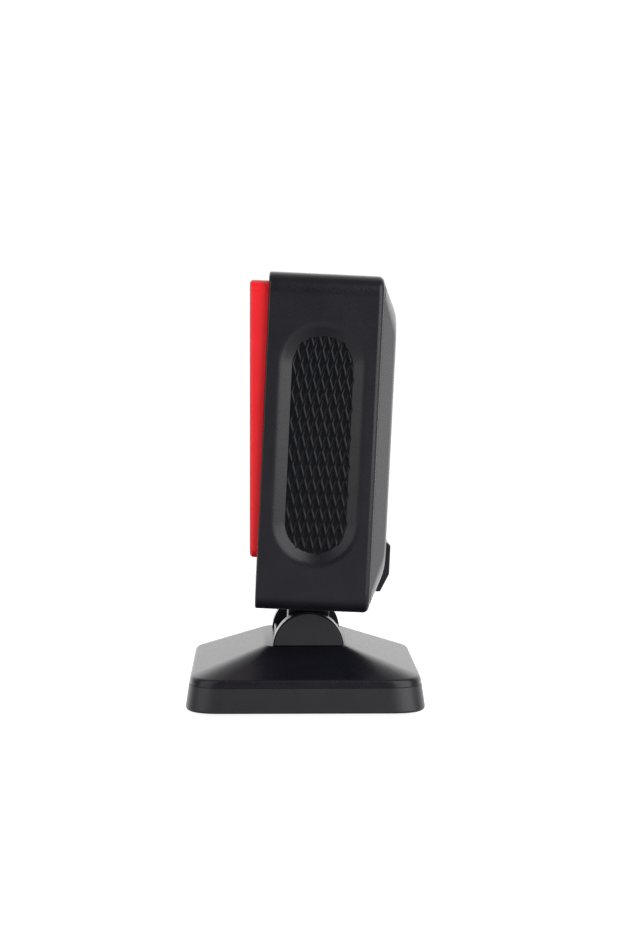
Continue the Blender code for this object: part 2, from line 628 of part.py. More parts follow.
def front_bezel(head):
    """The red wedge-shaped frame round the window, held by four pegs."""
    back = HEAD_FRONT - GAP
    bm = cube((-BEZEL_HALF, BEZEL_FRONT_TOP, BEZEL_BOTTOM), (BEZEL_HALF, back, BEZEL_TOP))
    for vert in bm.verts:
        if vert.co.y < back - 0.01 * MM and vert.co.z < HEAD_MID_Z:
            vert.co.y = BEZEL_FRONT_BOTTOM
    round_edges(bm, along(1), BEZEL_CORNER, 5)
    front_edges = [edge for edge in bm.edges
                   if all(vert.co.y < back - 0.01 * MM for vert in edge.verts)]
    bmesh.ops.bevel(bm, geom=front_edges, offset=1.2 * MM, segments=3, profile=0.5, affect="EDGES")
    bezel = head.part("front_bezel", bm, "red_plastic")
    flare = 1.4 * MM
    mouth_half = (WINDOW_TOP - WINDOW_BOTTOM) / 2
    sections = []
    for y, grow in ((back + OVERSHOOT, GAP), (BEZEL_FRONT_BOTTOM + 0.8 * MM, GAP),
                    (BEZEL_FRONT_TOP - OVERSHOOT, GAP + flare)):
        outline = rounded_rectangle(WINDOW_HALF + grow, mouth_half + grow, 2.3 * MM + grow, 4, OPTICS_Z)
        sections.append([(x, y, z) for x, z in outline])
    head.cut(bezel, loft(sections))
    head.join(bezel, *[rod(1.2 * MM, (x, back - 1 * MM, z), (x, FRONT_INSIDE - 0.6 * MM, z), 12)
                       for x, z in peg_places()])


def window(head):
    """The tinted window and the foam frame that seals it to the casing."""
    gasket_front = LEDGE_Y - GAP - GASKET_THICKNESS
    glass = window_slab(gasket_front - GAP - WINDOW_THICKNESS, gasket_front - GAP, 0, 2 * MM)
    head.part("scan_window", glass, "window_tint")
    gasket = head.part("window_gasket", window_slab(gasket_front, LEDGE_Y - GAP, 0, 2 * MM), "foot_rubber")
    head.cut(gasket, window_slab(gasket_front - OVERSHOOT, LEDGE_Y + OVERSHOOT, -LEDGE_WIDTH + GAP, 1.8 * MM))


def side_grips(head):
    """The soft inserts in the side dishes."""
    outline = stadium(DISH_HALF_Y - DISH_SLOPE - GAP, DISH_HALF_Z - DISH_SLOPE - GAP)
    floor = HEAD_HALF - DISH_DEPTH - GRIP_DEPTH + GAP
    for side, word in ((-1, "left"), (1, "right")):
        head.part(f"side_grip_{word}", prism_x(outline, side * floor, side * (HEAD_HALF - DISH_DEPTH)),
                  "grip_rubber")


def neck_screw_places():
    return [(x, y) for y in (-NECK_SCREW_Y, NECK_SCREW_Y) for x in (-NECK_SCREW_X, NECK_SCREW_X)]


def neck(head):
    """The knuckle on the hinge pin, whose block carries the head, and its screws."""
    half = EAR_INNER - WASHER_THICKNESS - 2 * GAP
    top = HEAD_BOTTOM - GAP
    outline = [(KNUCKLE_RADIUS, top), (-KNUCKLE_RADIUS, top),
               *arc((0, 0), KNUCKLE_RADIUS, 180, 360, 16)]
    knuckle = head.part("neck_knuckle", prism_x(outline, -half, half), "black_plastic")
    head.cut(knuckle, rod(PIN_RADIUS + GAP, (-half - OVERSHOOT, 0, 0), (half + OVERSHOOT, 0, 0)))
    head.cut(knuckle, *[rod(1.5 * MM, (x, y, 0), (x, y, top + OVERSHOOT), 10)
                        for x, y in neck_screw_places()])
    for number, (x, y) in enumerate(neck_screw_places(), start=1):
        head.screw(f"neck_screw_{number}", (x, y, HEAD_BOTTOM + HEAD_WALL + GAP), (0, 0, 0),
                   head_radius=2.3 * MM, head_height=1.6 * MM, shank_radius=1.2 * MM, length=10.5 * MM)


def rear_screws(head):
    for side, word in ((-1, "left"), (1, "right")):
        head.screw(f"rear_screw_{word}", (side * REAR_SCREW_X, COVER_REAR - 4.2 * MM + GAP, REAR_SCREW_Z),
                   (-math.pi / 2, 0, 0), head_radius=2.8 * MM, head_height=1.8 * MM,
                   shank_radius=1.5 * MM, length=10 * MM)


# ---------------------------------------------------------------- optics and electronics

def light_unit(head):
    """The reflector behind the window, its board, the four lamps and the aiming lamp."""
    front = FRONT_INSIDE + GAP
    back = LIGHT_BOARD_Y - GAP
    wall = 1.3 * MM
    front_half = WINDOW_HALF - LEDGE_WIDTH + 0.4 * MM
    front_half_z = (WINDOW_TOP - WINDOW_BOTTOM) / 2 - LEDGE_WIDTH
    back_half = 17 * MM

    def funnel(y_front, y_back, shrink):
        outlines = ((y_front, front_half - shrink, front_half_z - shrink),
                    (y_back, back_half - shrink, back_half - shrink))
        return loft([[(x, y, z) for x, z in rounded_rectangle(half_x, half_z, 2.5 * MM, 3, OPTICS_Z)]
                     for y, half_x, half_z in outlines])

    reflector = head.part("reflector", funnel(front, back, 0), "white_plastic")
    head.cut(reflector, funnel(front - GAP, back + GAP, wall))
    board_half = 18.5 * MM
    board_back = LIGHT_BOARD_Y + BOARD_THICKNESS
    board = head.part("light_board", slab((-board_half, LIGHT_BOARD_Y, OPTICS_Z - board_half),
                                          (board_half, board_back, OPTICS_Z + board_half), 1, 2 * MM),
                      "circuit_board")
    head.cut(board, rod(LENS_BARREL_RADIUS + 0.6 * MM, (0, LIGHT_BOARD_Y - OVERSHOOT, OPTICS_Z),
                        (0, board_back + OVERSHOOT, OPTICS_Z), 24))
    face = LIGHT_BOARD_Y - GAP
    dome = [(0, 2.6 * MM), (1.3 * MM, 2.2 * MM), (2.0 * MM, 1.2 * MM), (2.3 * MM, 0.8 * MM),
            (2.3 * MM, 0), (0, 0)]
    corners = [(-1, -1), (1, -1), (1, 1), (-1, 1)]
    forward = (math.pi / 2, 0, 0)
    for number, (side_x, side_z) in enumerate(corners, start=1):
        place = (side_x * LED_OFFSET, face, OPTICS_Z + side_z * LED_OFFSET)
        head.turned(f"led_{number}", dome, "clear_resin", place, forward)
    aimer = [(0, 4.2 * MM), (0.9 * MM, 3.9 * MM), (1.5 * MM, 3.0 * MM), (1.5 * MM, 0.6 * MM),
             (1.8 * MM, 0.6 * MM), (1.8 * MM, 0), (0, 0)]
    head.turned("aiming_led", aimer, "clear_resin", (0, face, OPTICS_Z + LED_OFFSET), forward)


def camera(head):
    """The imager: its block, lens and sensor board."""
    half = IMAGER_HALF
    block = head.part("imager_block", slab((-half, IMAGER_FRONT, OPTICS_Z - half),
                                           (half, IMAGER_REAR, OPTICS_Z + half), 1, 1.5 * MM, 2),
                      "component_black")
    head.cut(block, rod(LENS_BORE, (0, IMAGER_FRONT - OVERSHOOT, OPTICS_Z), (0, IMAGER_REAR, OPTICS_Z), 24))
    sensor_half = 5 * MM
    head.cut(block, cube((-sensor_half - GAP, IMAGER_REAR - 2.4 * MM, OPTICS_Z - sensor_half - GAP),
                         (sensor_half + GAP, IMAGER_REAR + OVERSHOOT, OPTICS_Z + sensor_half + GAP)))
    barrel_front = -7.5 * MM
    barrel_back = IMAGER_FRONT - GAP
    barrel = head.part("lens_barrel", rod(LENS_BARREL_RADIUS, (0, barrel_front, OPTICS_Z),
                                          (0, barrel_back, OPTICS_Z), 28), "component_black")
    head.cut(barrel, rod(LENS_BORE, (0, barrel_front - OVERSHOOT, OPTICS_Z),
                         (0, barrel_back + OVERSHOOT, OPTICS_Z), 24))
    lens = [(0, 0.9 * MM), (2.0 * MM, 0.7 * MM), (3.6 * MM, 0.2 * MM), (4.4 * MM, -0.2 * MM),
            (4.4 * MM, -1.2 * MM), (0, -1.2 * MM)]
    head.turned("lens", lens, "lens_glass", (0, -5.4 * MM, OPTICS_Z), (math.pi / 2, 0, 0), steps=20)
    board_front = IMAGER_REAR + GAP
    board_back = board_front + 1 * MM
    head.part("sensor_board", slab((-half - 1 * MM, board_front, OPTICS_Z - half - 1 * MM),
                                   (half + 1 * MM, board_back, OPTICS_Z + half + 1 * MM), 1, 1 * MM, 2),
              "circuit_board")
    head.part("image_sensor", cube((-sensor_half, IMAGER_REAR - 2 * MM, OPTICS_Z - sensor_half),
                                   (sensor_half, IMAGER_REAR, OPTICS_Z + sensor_half)), "component_black")
    ribbon_half = 5 * MM
    low, high = board_back + GAP, MAIN_BOARD_Y - GAP
    film = 0.4 * MM
    middle = OPTICS_Z + 12 * MM
    path = [(low, OPTICS_Z), (low, middle), (high - film, middle + 5 * MM), (high - film, middle + 14 * MM)]
    outline = path + [(y + film, z) for y, z in reversed(path)]
    head.part("ribbon_cable", prism_x(outline, -ribbon_half, ribbon_half), "ribbon_film")


def main_board(head):
    """The processor board with its chip, buzzer and cable socket."""
    back = MAIN_BOARD_Y + BOARD_THICKNESS
    board = head.part("main_board", slab((-MAIN_BOARD_HALF, MAIN_BOARD_Y, MAIN_BOARD_BOTTOM),
                                         (MAIN_BOARD_HALF, back, MAIN_BOARD_TOP), 1, 1.5 * MM, 2),
                      "circuit_board")
    tongue_half = 12 * MM
    shoulder = 32.7 * MM
    edge = MAIN_BOARD_HALF + OVERSHOOT
    head.cut(board, *[cube((min(side * tongue_half, side * edge), MAIN_BOARD_Y - OVERSHOOT, 0),
                           (max(side * tongue_half, side * edge), back + OVERSHOOT, shoulder))
                      for side in (-1, 1)])
    head.cut(board, *[rod(1.5 * MM, (x, MAIN_BOARD_Y - OVERSHOOT, z), (x, back + OVERSHOOT, z), 12)
                      for x, z in board_screw_places()])
    for number, (x, z) in enumerate(board_screw_places(), start=1):
        head.screw(f"board_screw_{number}", (x, back + GAP, z), (-math.pi / 2, 0, 0),
                   head_radius=2.2 * MM, head_height=1.5 * MM, shank_radius=1.0 * MM, length=8 * MM)
    face = back + GAP
    chip_half = 8 * MM
    chip_z = 69 * MM
    head.part("processor", cube((-chip_half, face, chip_z - chip_half),
                                (chip_half, face + 1.6 * MM, chip_z + chip_half)), "component_black")
    buzzer = [(0, 5.6 * MM), (5.2 * MM, 5.6 * MM), (6 * MM, 4.8 * MM), (6 * MM, 0), (0, 0)]
    head.turned("buzzer", buzzer, "component_black", (-18 * MM, face, 51 * MM), (-math.pi / 2, 0, 0), steps=24)
    socket = head.part("cable_socket", cube((-SOCKET_HALF, face, SOCKET_BOTTOM),
                                            (SOCKET_HALF, SOCKET_REAR, SOCKET_TOP)), "component_black")
    head.cut(socket, cube((-PLUG_HALF, PLUG_FRONT, SOCKET_BOTTOM - OVERSHOOT),
                          (PLUG_HALF, PLUG_REAR, SOCKET_TOP - 1.4 * MM)))
    pipe = [(0, 0), (1.5 * MM, -0.2 * MM), (1.5 * MM, -6 * MM), (0, -6 * MM)]
    head.turned("status_light_pipe", pipe, "clear_resin", (0, HEAD_FRONT - 0.1 * MM, LIGHT_PIPE_Z),
                (math.pi / 2, 0, 0))


# ---------------------------------------------------------------- assembly

def main():
    for thing in list(bpy.data.objects):
        bpy.data.objects.remove(thing)
    parts = make_collection("barcode_scanner")
    cutters = make_collection("cutters")
    for name in MATERIALS:
        make_material(name)
    base = Builder(parts, cutters)
    base_tray(base)
    base_cover(base)
    ballast(base)
    feet(base)
    base_screws(base)
    hinge(base)
    pivot = bpy.data.objects.new("head_pivot", None)
    pivot.location = (0, AXIS_Y, AXIS_Z)
    pivot.rotation_euler = (-LEAN, 0, 0)
    parts.objects.link(pivot)
    head = Builder(parts, cutters, pivot)
    head_casing(head)
    rear_cover(head)
    front_bezel(head)
    window(head)
    side_grips(head)
    neck(head)
    rear_screws(head)
    light_unit(head)
    camera(head)
    main_board(head)


main()
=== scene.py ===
"""Looks of the hands-free barcode scanner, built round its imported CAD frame.

Shapes are made in millimetres in the frame of the body that they belong to.
The base's frame is the row frame. The head's frame has its origin on the hinge axis
and leans back with the head: x across, y to the rear, z up.
"""
import json
import math

import bmesh
import bpy
from mathutils import Matrix, Vector


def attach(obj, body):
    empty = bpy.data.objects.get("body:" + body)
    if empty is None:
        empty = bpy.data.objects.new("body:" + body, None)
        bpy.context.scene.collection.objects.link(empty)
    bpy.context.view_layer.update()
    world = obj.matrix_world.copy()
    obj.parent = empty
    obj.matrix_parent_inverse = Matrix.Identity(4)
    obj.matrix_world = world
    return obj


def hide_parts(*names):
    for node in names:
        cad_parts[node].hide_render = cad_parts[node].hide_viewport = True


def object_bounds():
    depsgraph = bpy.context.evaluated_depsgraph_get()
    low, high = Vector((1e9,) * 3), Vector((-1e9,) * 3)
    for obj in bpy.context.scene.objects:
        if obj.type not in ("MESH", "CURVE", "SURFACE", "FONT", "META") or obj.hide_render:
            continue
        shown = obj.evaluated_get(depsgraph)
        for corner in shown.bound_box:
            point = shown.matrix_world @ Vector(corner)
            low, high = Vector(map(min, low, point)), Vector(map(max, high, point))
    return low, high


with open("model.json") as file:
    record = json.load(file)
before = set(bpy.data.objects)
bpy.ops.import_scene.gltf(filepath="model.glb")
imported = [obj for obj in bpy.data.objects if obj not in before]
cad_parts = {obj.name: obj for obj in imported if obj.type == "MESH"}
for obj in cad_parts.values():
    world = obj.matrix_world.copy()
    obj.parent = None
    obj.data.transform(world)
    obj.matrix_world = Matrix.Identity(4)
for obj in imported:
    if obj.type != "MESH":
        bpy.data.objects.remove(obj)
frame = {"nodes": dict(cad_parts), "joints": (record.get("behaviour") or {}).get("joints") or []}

CAD_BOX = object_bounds()
MM = 0.001
GAP = 0.3                      # clearance between neighbouring CAD pieces
LEAN = math.radians(2.5)       # the head's backward lean at rest
OVERSHOOT = 2                  # how far cutting shapes run past what they cut
WELD = 0.0005                  # points nearer to each other than this become one
LEVEL = 0.001                  # edges this near to a direction or a plane count as on it
BASE = Matrix.Scale(MM, 4)
HEAD = (Matrix.Translation(Vector(frame["joints"][0]["pos_m"]))
        @ Matrix.Rotation(-LEAN, 4, "X") @ Matrix.Scale(MM, 4))


def extents(node, place):
    """A CAD node's lowest and highest corners in a body's own frame, in millimetres."""
    inverse = place.inverted()
    points = [inverse @ vert.co for vert in frame["nodes"][node].data.vertices]
    low = Vector([min(point[axis] for point in points) for axis in range(3)])
    high = Vector([max(point[axis] for point in points) for axis in range(3)])
    return low, high


# Sizes read from the CAD nodes
CASING_LOW, CASING_HIGH = extents("head_casing", HEAD)
COVER_LOW, COVER_HIGH = extents("rear_cover", HEAD)
BEZEL_LOW, BEZEL_HIGH = extents("front_bezel", HEAD)
WINDOW_LOW, WINDOW_HIGH = extents("scan_window", HEAD)
GRIP_LOW, GRIP_HIGH = extents("side_grip_right", HEAD)
NECK_LOW, NECK_HIGH = extents("neck_knuckle", HEAD)
SOCKET_LOW, SOCKET_HIGH = extents("cable_socket", HEAD)
PIPE_LOW, PIPE_HIGH = extents("status_light_pipe", HEAD)
TRAY_LOW, TRAY_HIGH = extents("base_tray", BASE)
CAP_LOW, CAP_HIGH = extents("hinge_cap_right", BASE)
FOOT_LOW, FOOT_HIGH = extents("foot_3", BASE)
AXIS_Y, AXIS_Z = (value / MM for value in frame["joints"][0]["pos_m"][1:])

# Head
HEAD_HALF = CASING_HIGH.x
HEAD_FRONT = CASING_LOW.y
HEAD_REAR = CASING_HIGH.y
HEAD_BOTTOM = CASING_LOW.z
HEAD_TOP = CASING_HIGH.z
HEAD_MID_Z = (HEAD_BOTTOM + HEAD_TOP) / 2
HEAD_CORNER = 7.5              # how far from its corners the head's outline starts to curve
HEAD_WALL = 2.6
FRONT_INSIDE = HEAD_FRONT + 3.6
WINDOW_CORNER = 2.3            # the opening round the window
LEDGE_Y = WINDOW_HIGH.y + 1.2
LEDGE_WIDTH = 2.4
COVER_FRONT = HEAD_REAR + 0.05
COVER_REAR = 25.0
COVER_EDGE_INSET = 2.0
COVER_FLAT_INSET = 12.2
HOOD_HALF = 9.5
HOOD_ROOT = 21.6               # inside the rear cover
HOOD_TOP = 30.6
HOOD_CHAMFER_Y = 1.2           # the chamfer along the hood's top edge
HOOD_CHAMFER_Z = 1.1
HOOD_BEND_Z = 19.5             # below this the hood leans in to its foot
HOOD_FOOT_Y = 24.9
HOOD_FOOT_Z = 13.2
HOOD_EDGE = 0.5
PLUG_HALF = 6.2
PLUG_FRONT = 17.4
PLUG_REAR = 23.8
REAR_SCREW_X = 20.0
REAR_SCREW_Z = 25.7
BEZEL_WEDGE = 4.0              # how much further forward the bezel stands at its top
BEZEL_CORNER = 4
BEZEL_EDGE = 1.2
BEZEL_LIP = 1.5                # the narrow slope between its face and the window
PIN_HOLE = 2.3

# Side dishes and their grips
DISH_DEPTH = HEAD_HALF - GRIP_HIGH.x
DISH_SLOPE = 3.95
DISH_MID_Y = (GRIP_LOW.y + GRIP_HIGH.y) / 2
DISH_MID_Z = (GRIP_LOW.z + GRIP_HIGH.z) / 2
GRIP_HALF_Y = (GRIP_HIGH.y - GRIP_LOW.y) / 2 + GAP
GRIP_HALF_Z = (GRIP_HIGH.z - GRIP_LOW.z) / 2 + GAP
CELL_HALF_Y = 1.4              # the grip's lozenges: half their width and height
CELL_HALF_Z = 4.82
CELL_SHIFT_Y = -0.3            # the middle of a lozenge, from the middle of the dish
CELL_SHIFT_Z = CELL_HALF_Z / 2 + 0.2
CELL_NET = 0.5                 # the width of the flat net between the lozenges
CELL_WALLS = 0.34              # the mean width of a lozenge's sloping walls
CELL_LEAN_Y = 0.08             # how far its floor lies toward the rear, and up
CELL_LEAN_Z = 0.25
CELL_DEPTH = 0.26
CELL_EDGE = 0.06               # the rounding between the net and a lozenge's walls
OVERHANG = 0.45                # how far the outer lozenges run up the dish's slope

# Base
GROUND_GAP = TRAY_LOW.z
BASE_HALF = TRAY_HIGH.x
PARTING_Z = TRAY_HIGH.z + GAP / 2
SEAM = 0.12                    # the visible seam between the base's two shells
RIM_HALF = 39.3
RIM_Z = 12.1
PLATEAU_Z = 21.2
PLATEAU_HALF_X = 23.4
PLATEAU_HALF_Y = 14.0
BASE_CORNER = 10.8
CORNER_REACH = 1.12            # how far a soft corner's curve runs, to its radius
PLATEAU_CORNER = 3.6
TRAY_WALL = 2.0
EAR_RADIUS = 12.2
EAR_CENTRE_Z = 20.7
EAR_OUTER = 23.2
EAR_INNER = 16.8
EAR_EDGE = 0.12
SADDLE_HALF = 11.5             # a low saddle on the plateau joins the ears
SADDLE_Z = 23.2
SADDLE_EDGE = 0.7
CAP_DEPTH = 1.2
CAP_EDGE = 0.28
CAP_RIM = 0.2                  # the width of the ear that shows round its cap
CAP_SEAM = 0.2
CAP_FLOOR = PLATEAU_Z - 0.1
TROUGH_RADIUS = 7.6
BASE_SCREW_OFFSET = 33.0


# ---------------------------------------------------------------- camera

def photo_camera():
    """The viewing angle: a long lens a little above the head, looking along -X."""
    azimuth, elevation, roll = (math.radians(angle) for angle in (1.483, 4.262, -0.144))
    distance = 662.8
    target = Vector((0, 2.25, 81.71))
    back = Vector((math.cos(elevation) * math.cos(azimuth), -math.cos(elevation) * math.sin(azimuth),
                   math.sin(elevation)))
    data = bpy.data.cameras.new("camera")
    data.lens = 72.5
    data.sensor_width = 36
    thing = bpy.data.objects.new("camera", data)
    thing.location = (target + back * distance) * MM
    thing.rotation_mode = "QUATERNION"
    thing.rotation_quaternion = ((-back).to_track_quat("-Z", "Y")
                                 @ Matrix.Rotation(-roll, 3, "Z").to_quaternion())
    bpy.context.scene.collection.objects.link(thing)
    bpy.context.scene.camera = thing


photo_camera()


# ---------------------------------------------------------------- materials

class Finish:
    """A material whose nodes hang on one Principled shader, in the piece's own coordinates."""

    def __init__(self, name, roughness, metallic=0.0, **constants):
        self.material = bpy.data.materials.new(name)
        self.material.use_nodes = True
        self.tree = self.material.node_tree
        self.shader = self.tree.nodes["Principled BSDF"]
        self.shader.inputs["Roughness"].default_value = roughness
        self.shader.inputs["Metallic"].default_value = metallic
        for socket, value in constants.items():
            self.shader.inputs[socket.replace("_", " ")].default_value = value
        self.place = self.node("TexCoord").outputs["Object"]

    def node(self, kind, **settings):
        made = self.tree.nodes.new("ShaderNode" + kind)
        for key, value in settings.items():
            setattr(made, key, value)
        return made

    def put(self, source, target):
        """Connects an output to an input, or sets the input to a plain value."""
        if isinstance(source, bpy.types.NodeSocket):
            self.tree.links.new(source, target)
        else:
            target.default_value = source

    def noise(self, size, detail=2.0, stretch=(1, 1, 1)):
        """Noise whose features are about size millimetres across."""
        scaled = self.node("Mapping")
        self.put(self.place, scaled.inputs["Vector"])
        scaled.inputs["Scale"].default_value = stretch
        made = self.node("TexNoise")
        self.put(scaled.outputs["Vector"], made.inputs["Vector"])
        made.inputs["Scale"].default_value = 1 / (size * MM)
        made.inputs["Detail"].default_value = detail
        return made.outputs["Fac"]

    def spread(self, value, low, high, start=0.35, end=0.65):
        """Maps noise onto a range."""
        made = self.node("MapRange")
        self.put(value, made.inputs["Value"])
        for socket, number in (("From Min", start), ("From Max", end), ("To Min", low), ("To Max", high)):
            made.inputs[socket].default_value = number
        return made.outputs["Result"]

    def blend(self, share, first, second):
        """A mix of two plain colours."""
        made = self.node("Mix", data_type="RGBA")
        self.put(share, made.inputs["Factor"])
        for socket in made.inputs:
            if socket.type == "RGBA":
                socket.default_value = (*(first if socket.name == "A" else second), 1)
        return [socket for socket in made.outputs if socket.type == "RGBA"][0]

    def bump(self, height, depth, under=None):
        """Relief whose height is depth millimetres, laid over another relief."""
        made = self.node("Bump")
        self.put(height, made.inputs["Height"])
        made.inputs["Strength"].default_value = 1.0
        made.inputs["Distance"].default_value = depth * MM
        if under is not None:
            self.put(under, made.inputs["Normal"])
        return made.outputs["Normal"]

    def colour(self, source):
        self.put((*source, 1) if isinstance(source, tuple) else source, self.shader.inputs["Base Color"])

    def roughness(self, source):
        self.put(source, self.shader.inputs["Roughness"])

    def relief(self, normal):
        self.put(normal, self.shader.inputs["Normal"])


def moulded(name, first, second, rough, grain=0.45, depth=0.012, level=0.5):
    """Moulded plastic or rubber: two colours in faint clouds, and a fine grain in gloss and relief."""
    finish = Finish(name, sum(rough) / 2, Specular_IOR_Level=level)
    clouds = finish.noise(9, 3)
    fine = finish.noise(grain, 3)
    finish.colour(finish.blend(finish.spread(clouds, 0, 1), first, second))
    finish.roughness(finish.spread(fine, *rough))
    coarse = finish.bump(finish.noise(2.6 * grain, 1), depth)
    finish.relief(finish.bump(fine, depth, coarse))
    return finish.material


def plated(name, colour, grain, rough):
    """Zinc-plated or raw steel with fine drawn lines and a cloudy sheen."""
    finish = Finish(name, sum(rough) / 2, 1.0)
    lines = finish.noise(0.25, 2, stretch=(0.15, 1, 1))
    finish.colour(finish.blend(finish.spread(finish.noise(grain, 3), 0, 1), colour,
                               tuple(0.8 * share for share in colour)))
    finish.roughness(finish.spread(lines, *rough))
    finish.relief(finish.bump(lines, 0.004))
    return finish.material


def board_finish():
    """Green solder mask with raised, lighter tracks."""
    finish = Finish("board_green", 0.4)
    cells = finish.node("TexVoronoi", feature="DISTANCE_TO_EDGE", distance="MANHATTAN")
    finish.put(finish.place, cells.inputs["Vector"])
    cells.inputs["Scale"].default_value = 320
    track = finish.spread(cells.outputs["Distance"], 1, 0, 0.04, 0.08)
    finish.colour(finish.blend(track, (0.012, 0.10, 0.045), (0.03, 0.24, 0.10)))
    finish.relief(finish.bump(track, 0.03))
    return finish.material


def film_finish():
    """Amber film with dark conductors along it."""
    finish = Finish("film_amber", 0.35)
    stripes = finish.node("TexWave", bands_direction="X")
    finish.put(finish.place, stripes.inputs["Vector"])
    stripes.inputs["Scale"].default_value = 320
    finish.colour(finish.blend(finish.spread(stripes.outputs["Fac"], 0, 1), (0.62, 0.38, 0.12),
                               (0.30, 0.15, 0.05)))
    return finish.material


def clear(name, colour, rough):
    """Clear glass or resin with faint smears."""
    finish = Finish(name, rough, Transmission_Weight=1.0, IOR=1.5)
    finish.colour(colour)
    finish.roughness(finish.spread(finish.noise(6, 2), rough, rough + 0.03))
    return finish.material


FINISHES = {
    "black_plastic": moulded("plastic_black", (0.0060, 0.0058, 0.0103), (0.0086, 0.0084, 0.0132),
                             (0.27, 0.35), level=0.38),
    "black_plastic_coarse": moulded("plastic_black_coarse", (0.0100, 0.0098, 0.0140),
                                    (0.0130, 0.0128, 0.0175), (0.38, 0.48), grain=0.4, depth=0.02,
                                    level=0.52),
    "red_plastic": moulded("plastic_red", (0.97, 0.006, 0.014), (1.0, 0.010, 0.019), (0.34, 0.42),
                           depth=0.004),
    "grip_rubber": moulded("rubber_grip", (0.0014, 0.0016, 0.0040), (0.0020, 0.0022, 0.0050),
                           (0.20, 0.26), grain=0.3, depth=0.003, level=0.18),
    "foot_rubber": moulded("rubber_foot", (0.014, 0.014, 0.015), (0.020, 0.020, 0.021), (0.75, 0.9),
                           grain=0.5, depth=0.03),
    "window_tint": clear("glass_tinted", (0.42, 0.10, 0.11), 0.02),
    "lens_glass": clear("glass_coated", (0.55, 0.60, 0.85), 0.01),
    "clear_resin": clear("resin_clear", (0.92, 0.92, 0.90), 0.05),
    "circuit_board": board_finish(),
    "component_black": moulded("plastic_component", (0.014, 0.014, 0.016), (0.022, 0.022, 0.024),
                               (0.45, 0.6), grain=0.3),
    "ribbon_film": film_finish(),
    "white_plastic": moulded("plastic_white", (0.78, 0.78, 0.76), (0.83, 0.83, 0.81), (0.28, 0.36),
                             depth=0.004),
    "nylon": moulded("plastic_nylon", (0.70, 0.69, 0.62), (0.78, 0.77, 0.71), (0.42, 0.55)),
    "steel": plated("steel_zinc", (0.62, 0.62, 0.64), 4, (0.22, 0.38)),
    "cast_steel": plated("steel_raw", (0.28, 0.28, 0.29), 7, (0.45, 0.65)),
}


# ---------------------------------------------------------------- shapes

def arc(centre, radius, first, last, segments):
    """Points on an arc, from the first angle to the last, in degrees."""
    angles = [math.radians(first + (last - first) * step / segments) for step in range(segments + 1)]
    return [(centre[0] + radius * math.cos(a), centre[1] + radius * math.sin(a)) for a in angles]


def rounded_rectangle(half_u, half_v, radius, segments=12, middle_v=0.0):
    """The points of a rectangle with round corners, anticlockwise."""
    points = []
    for side_u, side_v, first in ((1, 1, 0), (-1, 1, 90), (-1, -1, 180), (1, -1, 270)):
        centre = (side_u * (half_u - radius), middle_v + side_v * (half_v - radius))
        points += arc(centre, radius, first, first + 90, segments)
    return points


def soft_rectangle(half_u, half_v, reach, segments=16, middle_v=0.0):
    """The points of a rectangle whose corners start to curve gently, at a reach from each corner."""
    points = []
    for side_u, side_v in ((1, 1), (-1, 1), (-1, -1), (1, -1)):
        corner = (side_u * half_u, middle_v + side_v * half_v)
        upright = (corner[0], corner[1] - side_v * reach)
        level = (corner[0] - side_u * reach, corner[1])
        first, last = (upright, level) if side_u * side_v > 0 else (level, upright)
        points += bezier(first, corner, last, segments)
    return points


def bezier(first, middle, last, segments):
    """Points on the curve that leaves first toward middle and arrives at last from middle."""
    shares = [step / segments for step in range(segments + 1)]
    return [[(1 - t) ** 2 * a + 2 * t * (1 - t) * b + t * t * c for a, b, c in zip(first, middle, last)]
            for t in shares]


def toward(start, end, distance):
    """The point at a distance from start on the way to end."""
    share = distance / math.dist(start, end)
    return [a + (b - a) * share for a, b in zip(start, end)]


def soft_path(corners, cuts, steps=6):
    """A path whose inner corners are rounded, each over a stated length on both sides."""
    path = [list(corners[0])]
    for before, corner, after, cut in zip(corners, corners[1:], corners[2:], cuts):
        path += bezier(toward(corner, before, cut), corner, toward(corner, after, cut), steps)
    path.append(list(corners[-1]))
    return path


def bridge(bm, rings):
    """The faces between each ring of points and the next."""
    count = len(rings[0])
    for lower, upper in zip(rings, rings[1:]):
        for index in range(count):
            after = (index + 1) % count
            bm.faces.new((lower[index], lower[after], upper[after], upper[index]))


def loft(sections, closed=False):
    """A body through sections with equally many points: capped, or a ring joined to its start."""
    bm = bmesh.new()
    rings = [[bm.verts.new(point) for point in section] for section in sections]
    if closed:
        rings.append(rings[0])
    else:
        bm.faces.new(rings[0])
        bm.faces.new(rings[-1])
    bridge(bm, rings)
    bmesh.ops.recalc_face_normals(bm, faces=bm.faces)
    return bm


def cube(low, high):
    """A box between its lowest and highest corners, to be cut with or shaped further."""
    bm = bmesh.new()
    bmesh.ops.create_cube(bm, size=1.0)
    low, high = Vector(low), Vector(high)
    bmesh.ops.scale(bm, vec=high - low, verts=bm.verts)
    bmesh.ops.translate(bm, vec=(low + high) / 2, verts=bm.verts)
    return bm


def bevel(bm, edges, radius, segments):
    """Rounds some of a shape's edges."""
    bmesh.ops.bevel(bm, geom=edges, offset=radius, segments=segments, profile=0.5, affect="EDGES")


def edges_along(bm, axis):
    """The edges that run along an axis, 0 to 2 for X to Z."""
    across = [index for index in range(3) if index != axis]
    return [edge for edge in bm.edges
            if all(abs(edge.verts[0].co[index] - edge.verts[1].co[index]) < LEVEL for index in across)]


def edges_at(bm, axis, value):
    """The edges that lie in a plane square to an axis."""
    return [edge for edge in bm.edges if all(abs(vert.co[axis] - value) < LEVEL for vert in edge.verts)]


def slab(low, high, axis, radius, segments=10):
    """A box whose four edges along an axis are rounded."""
    bm = cube(low, high)
    bevel(bm, edges_along(bm, axis), radius, segments)
    return bm


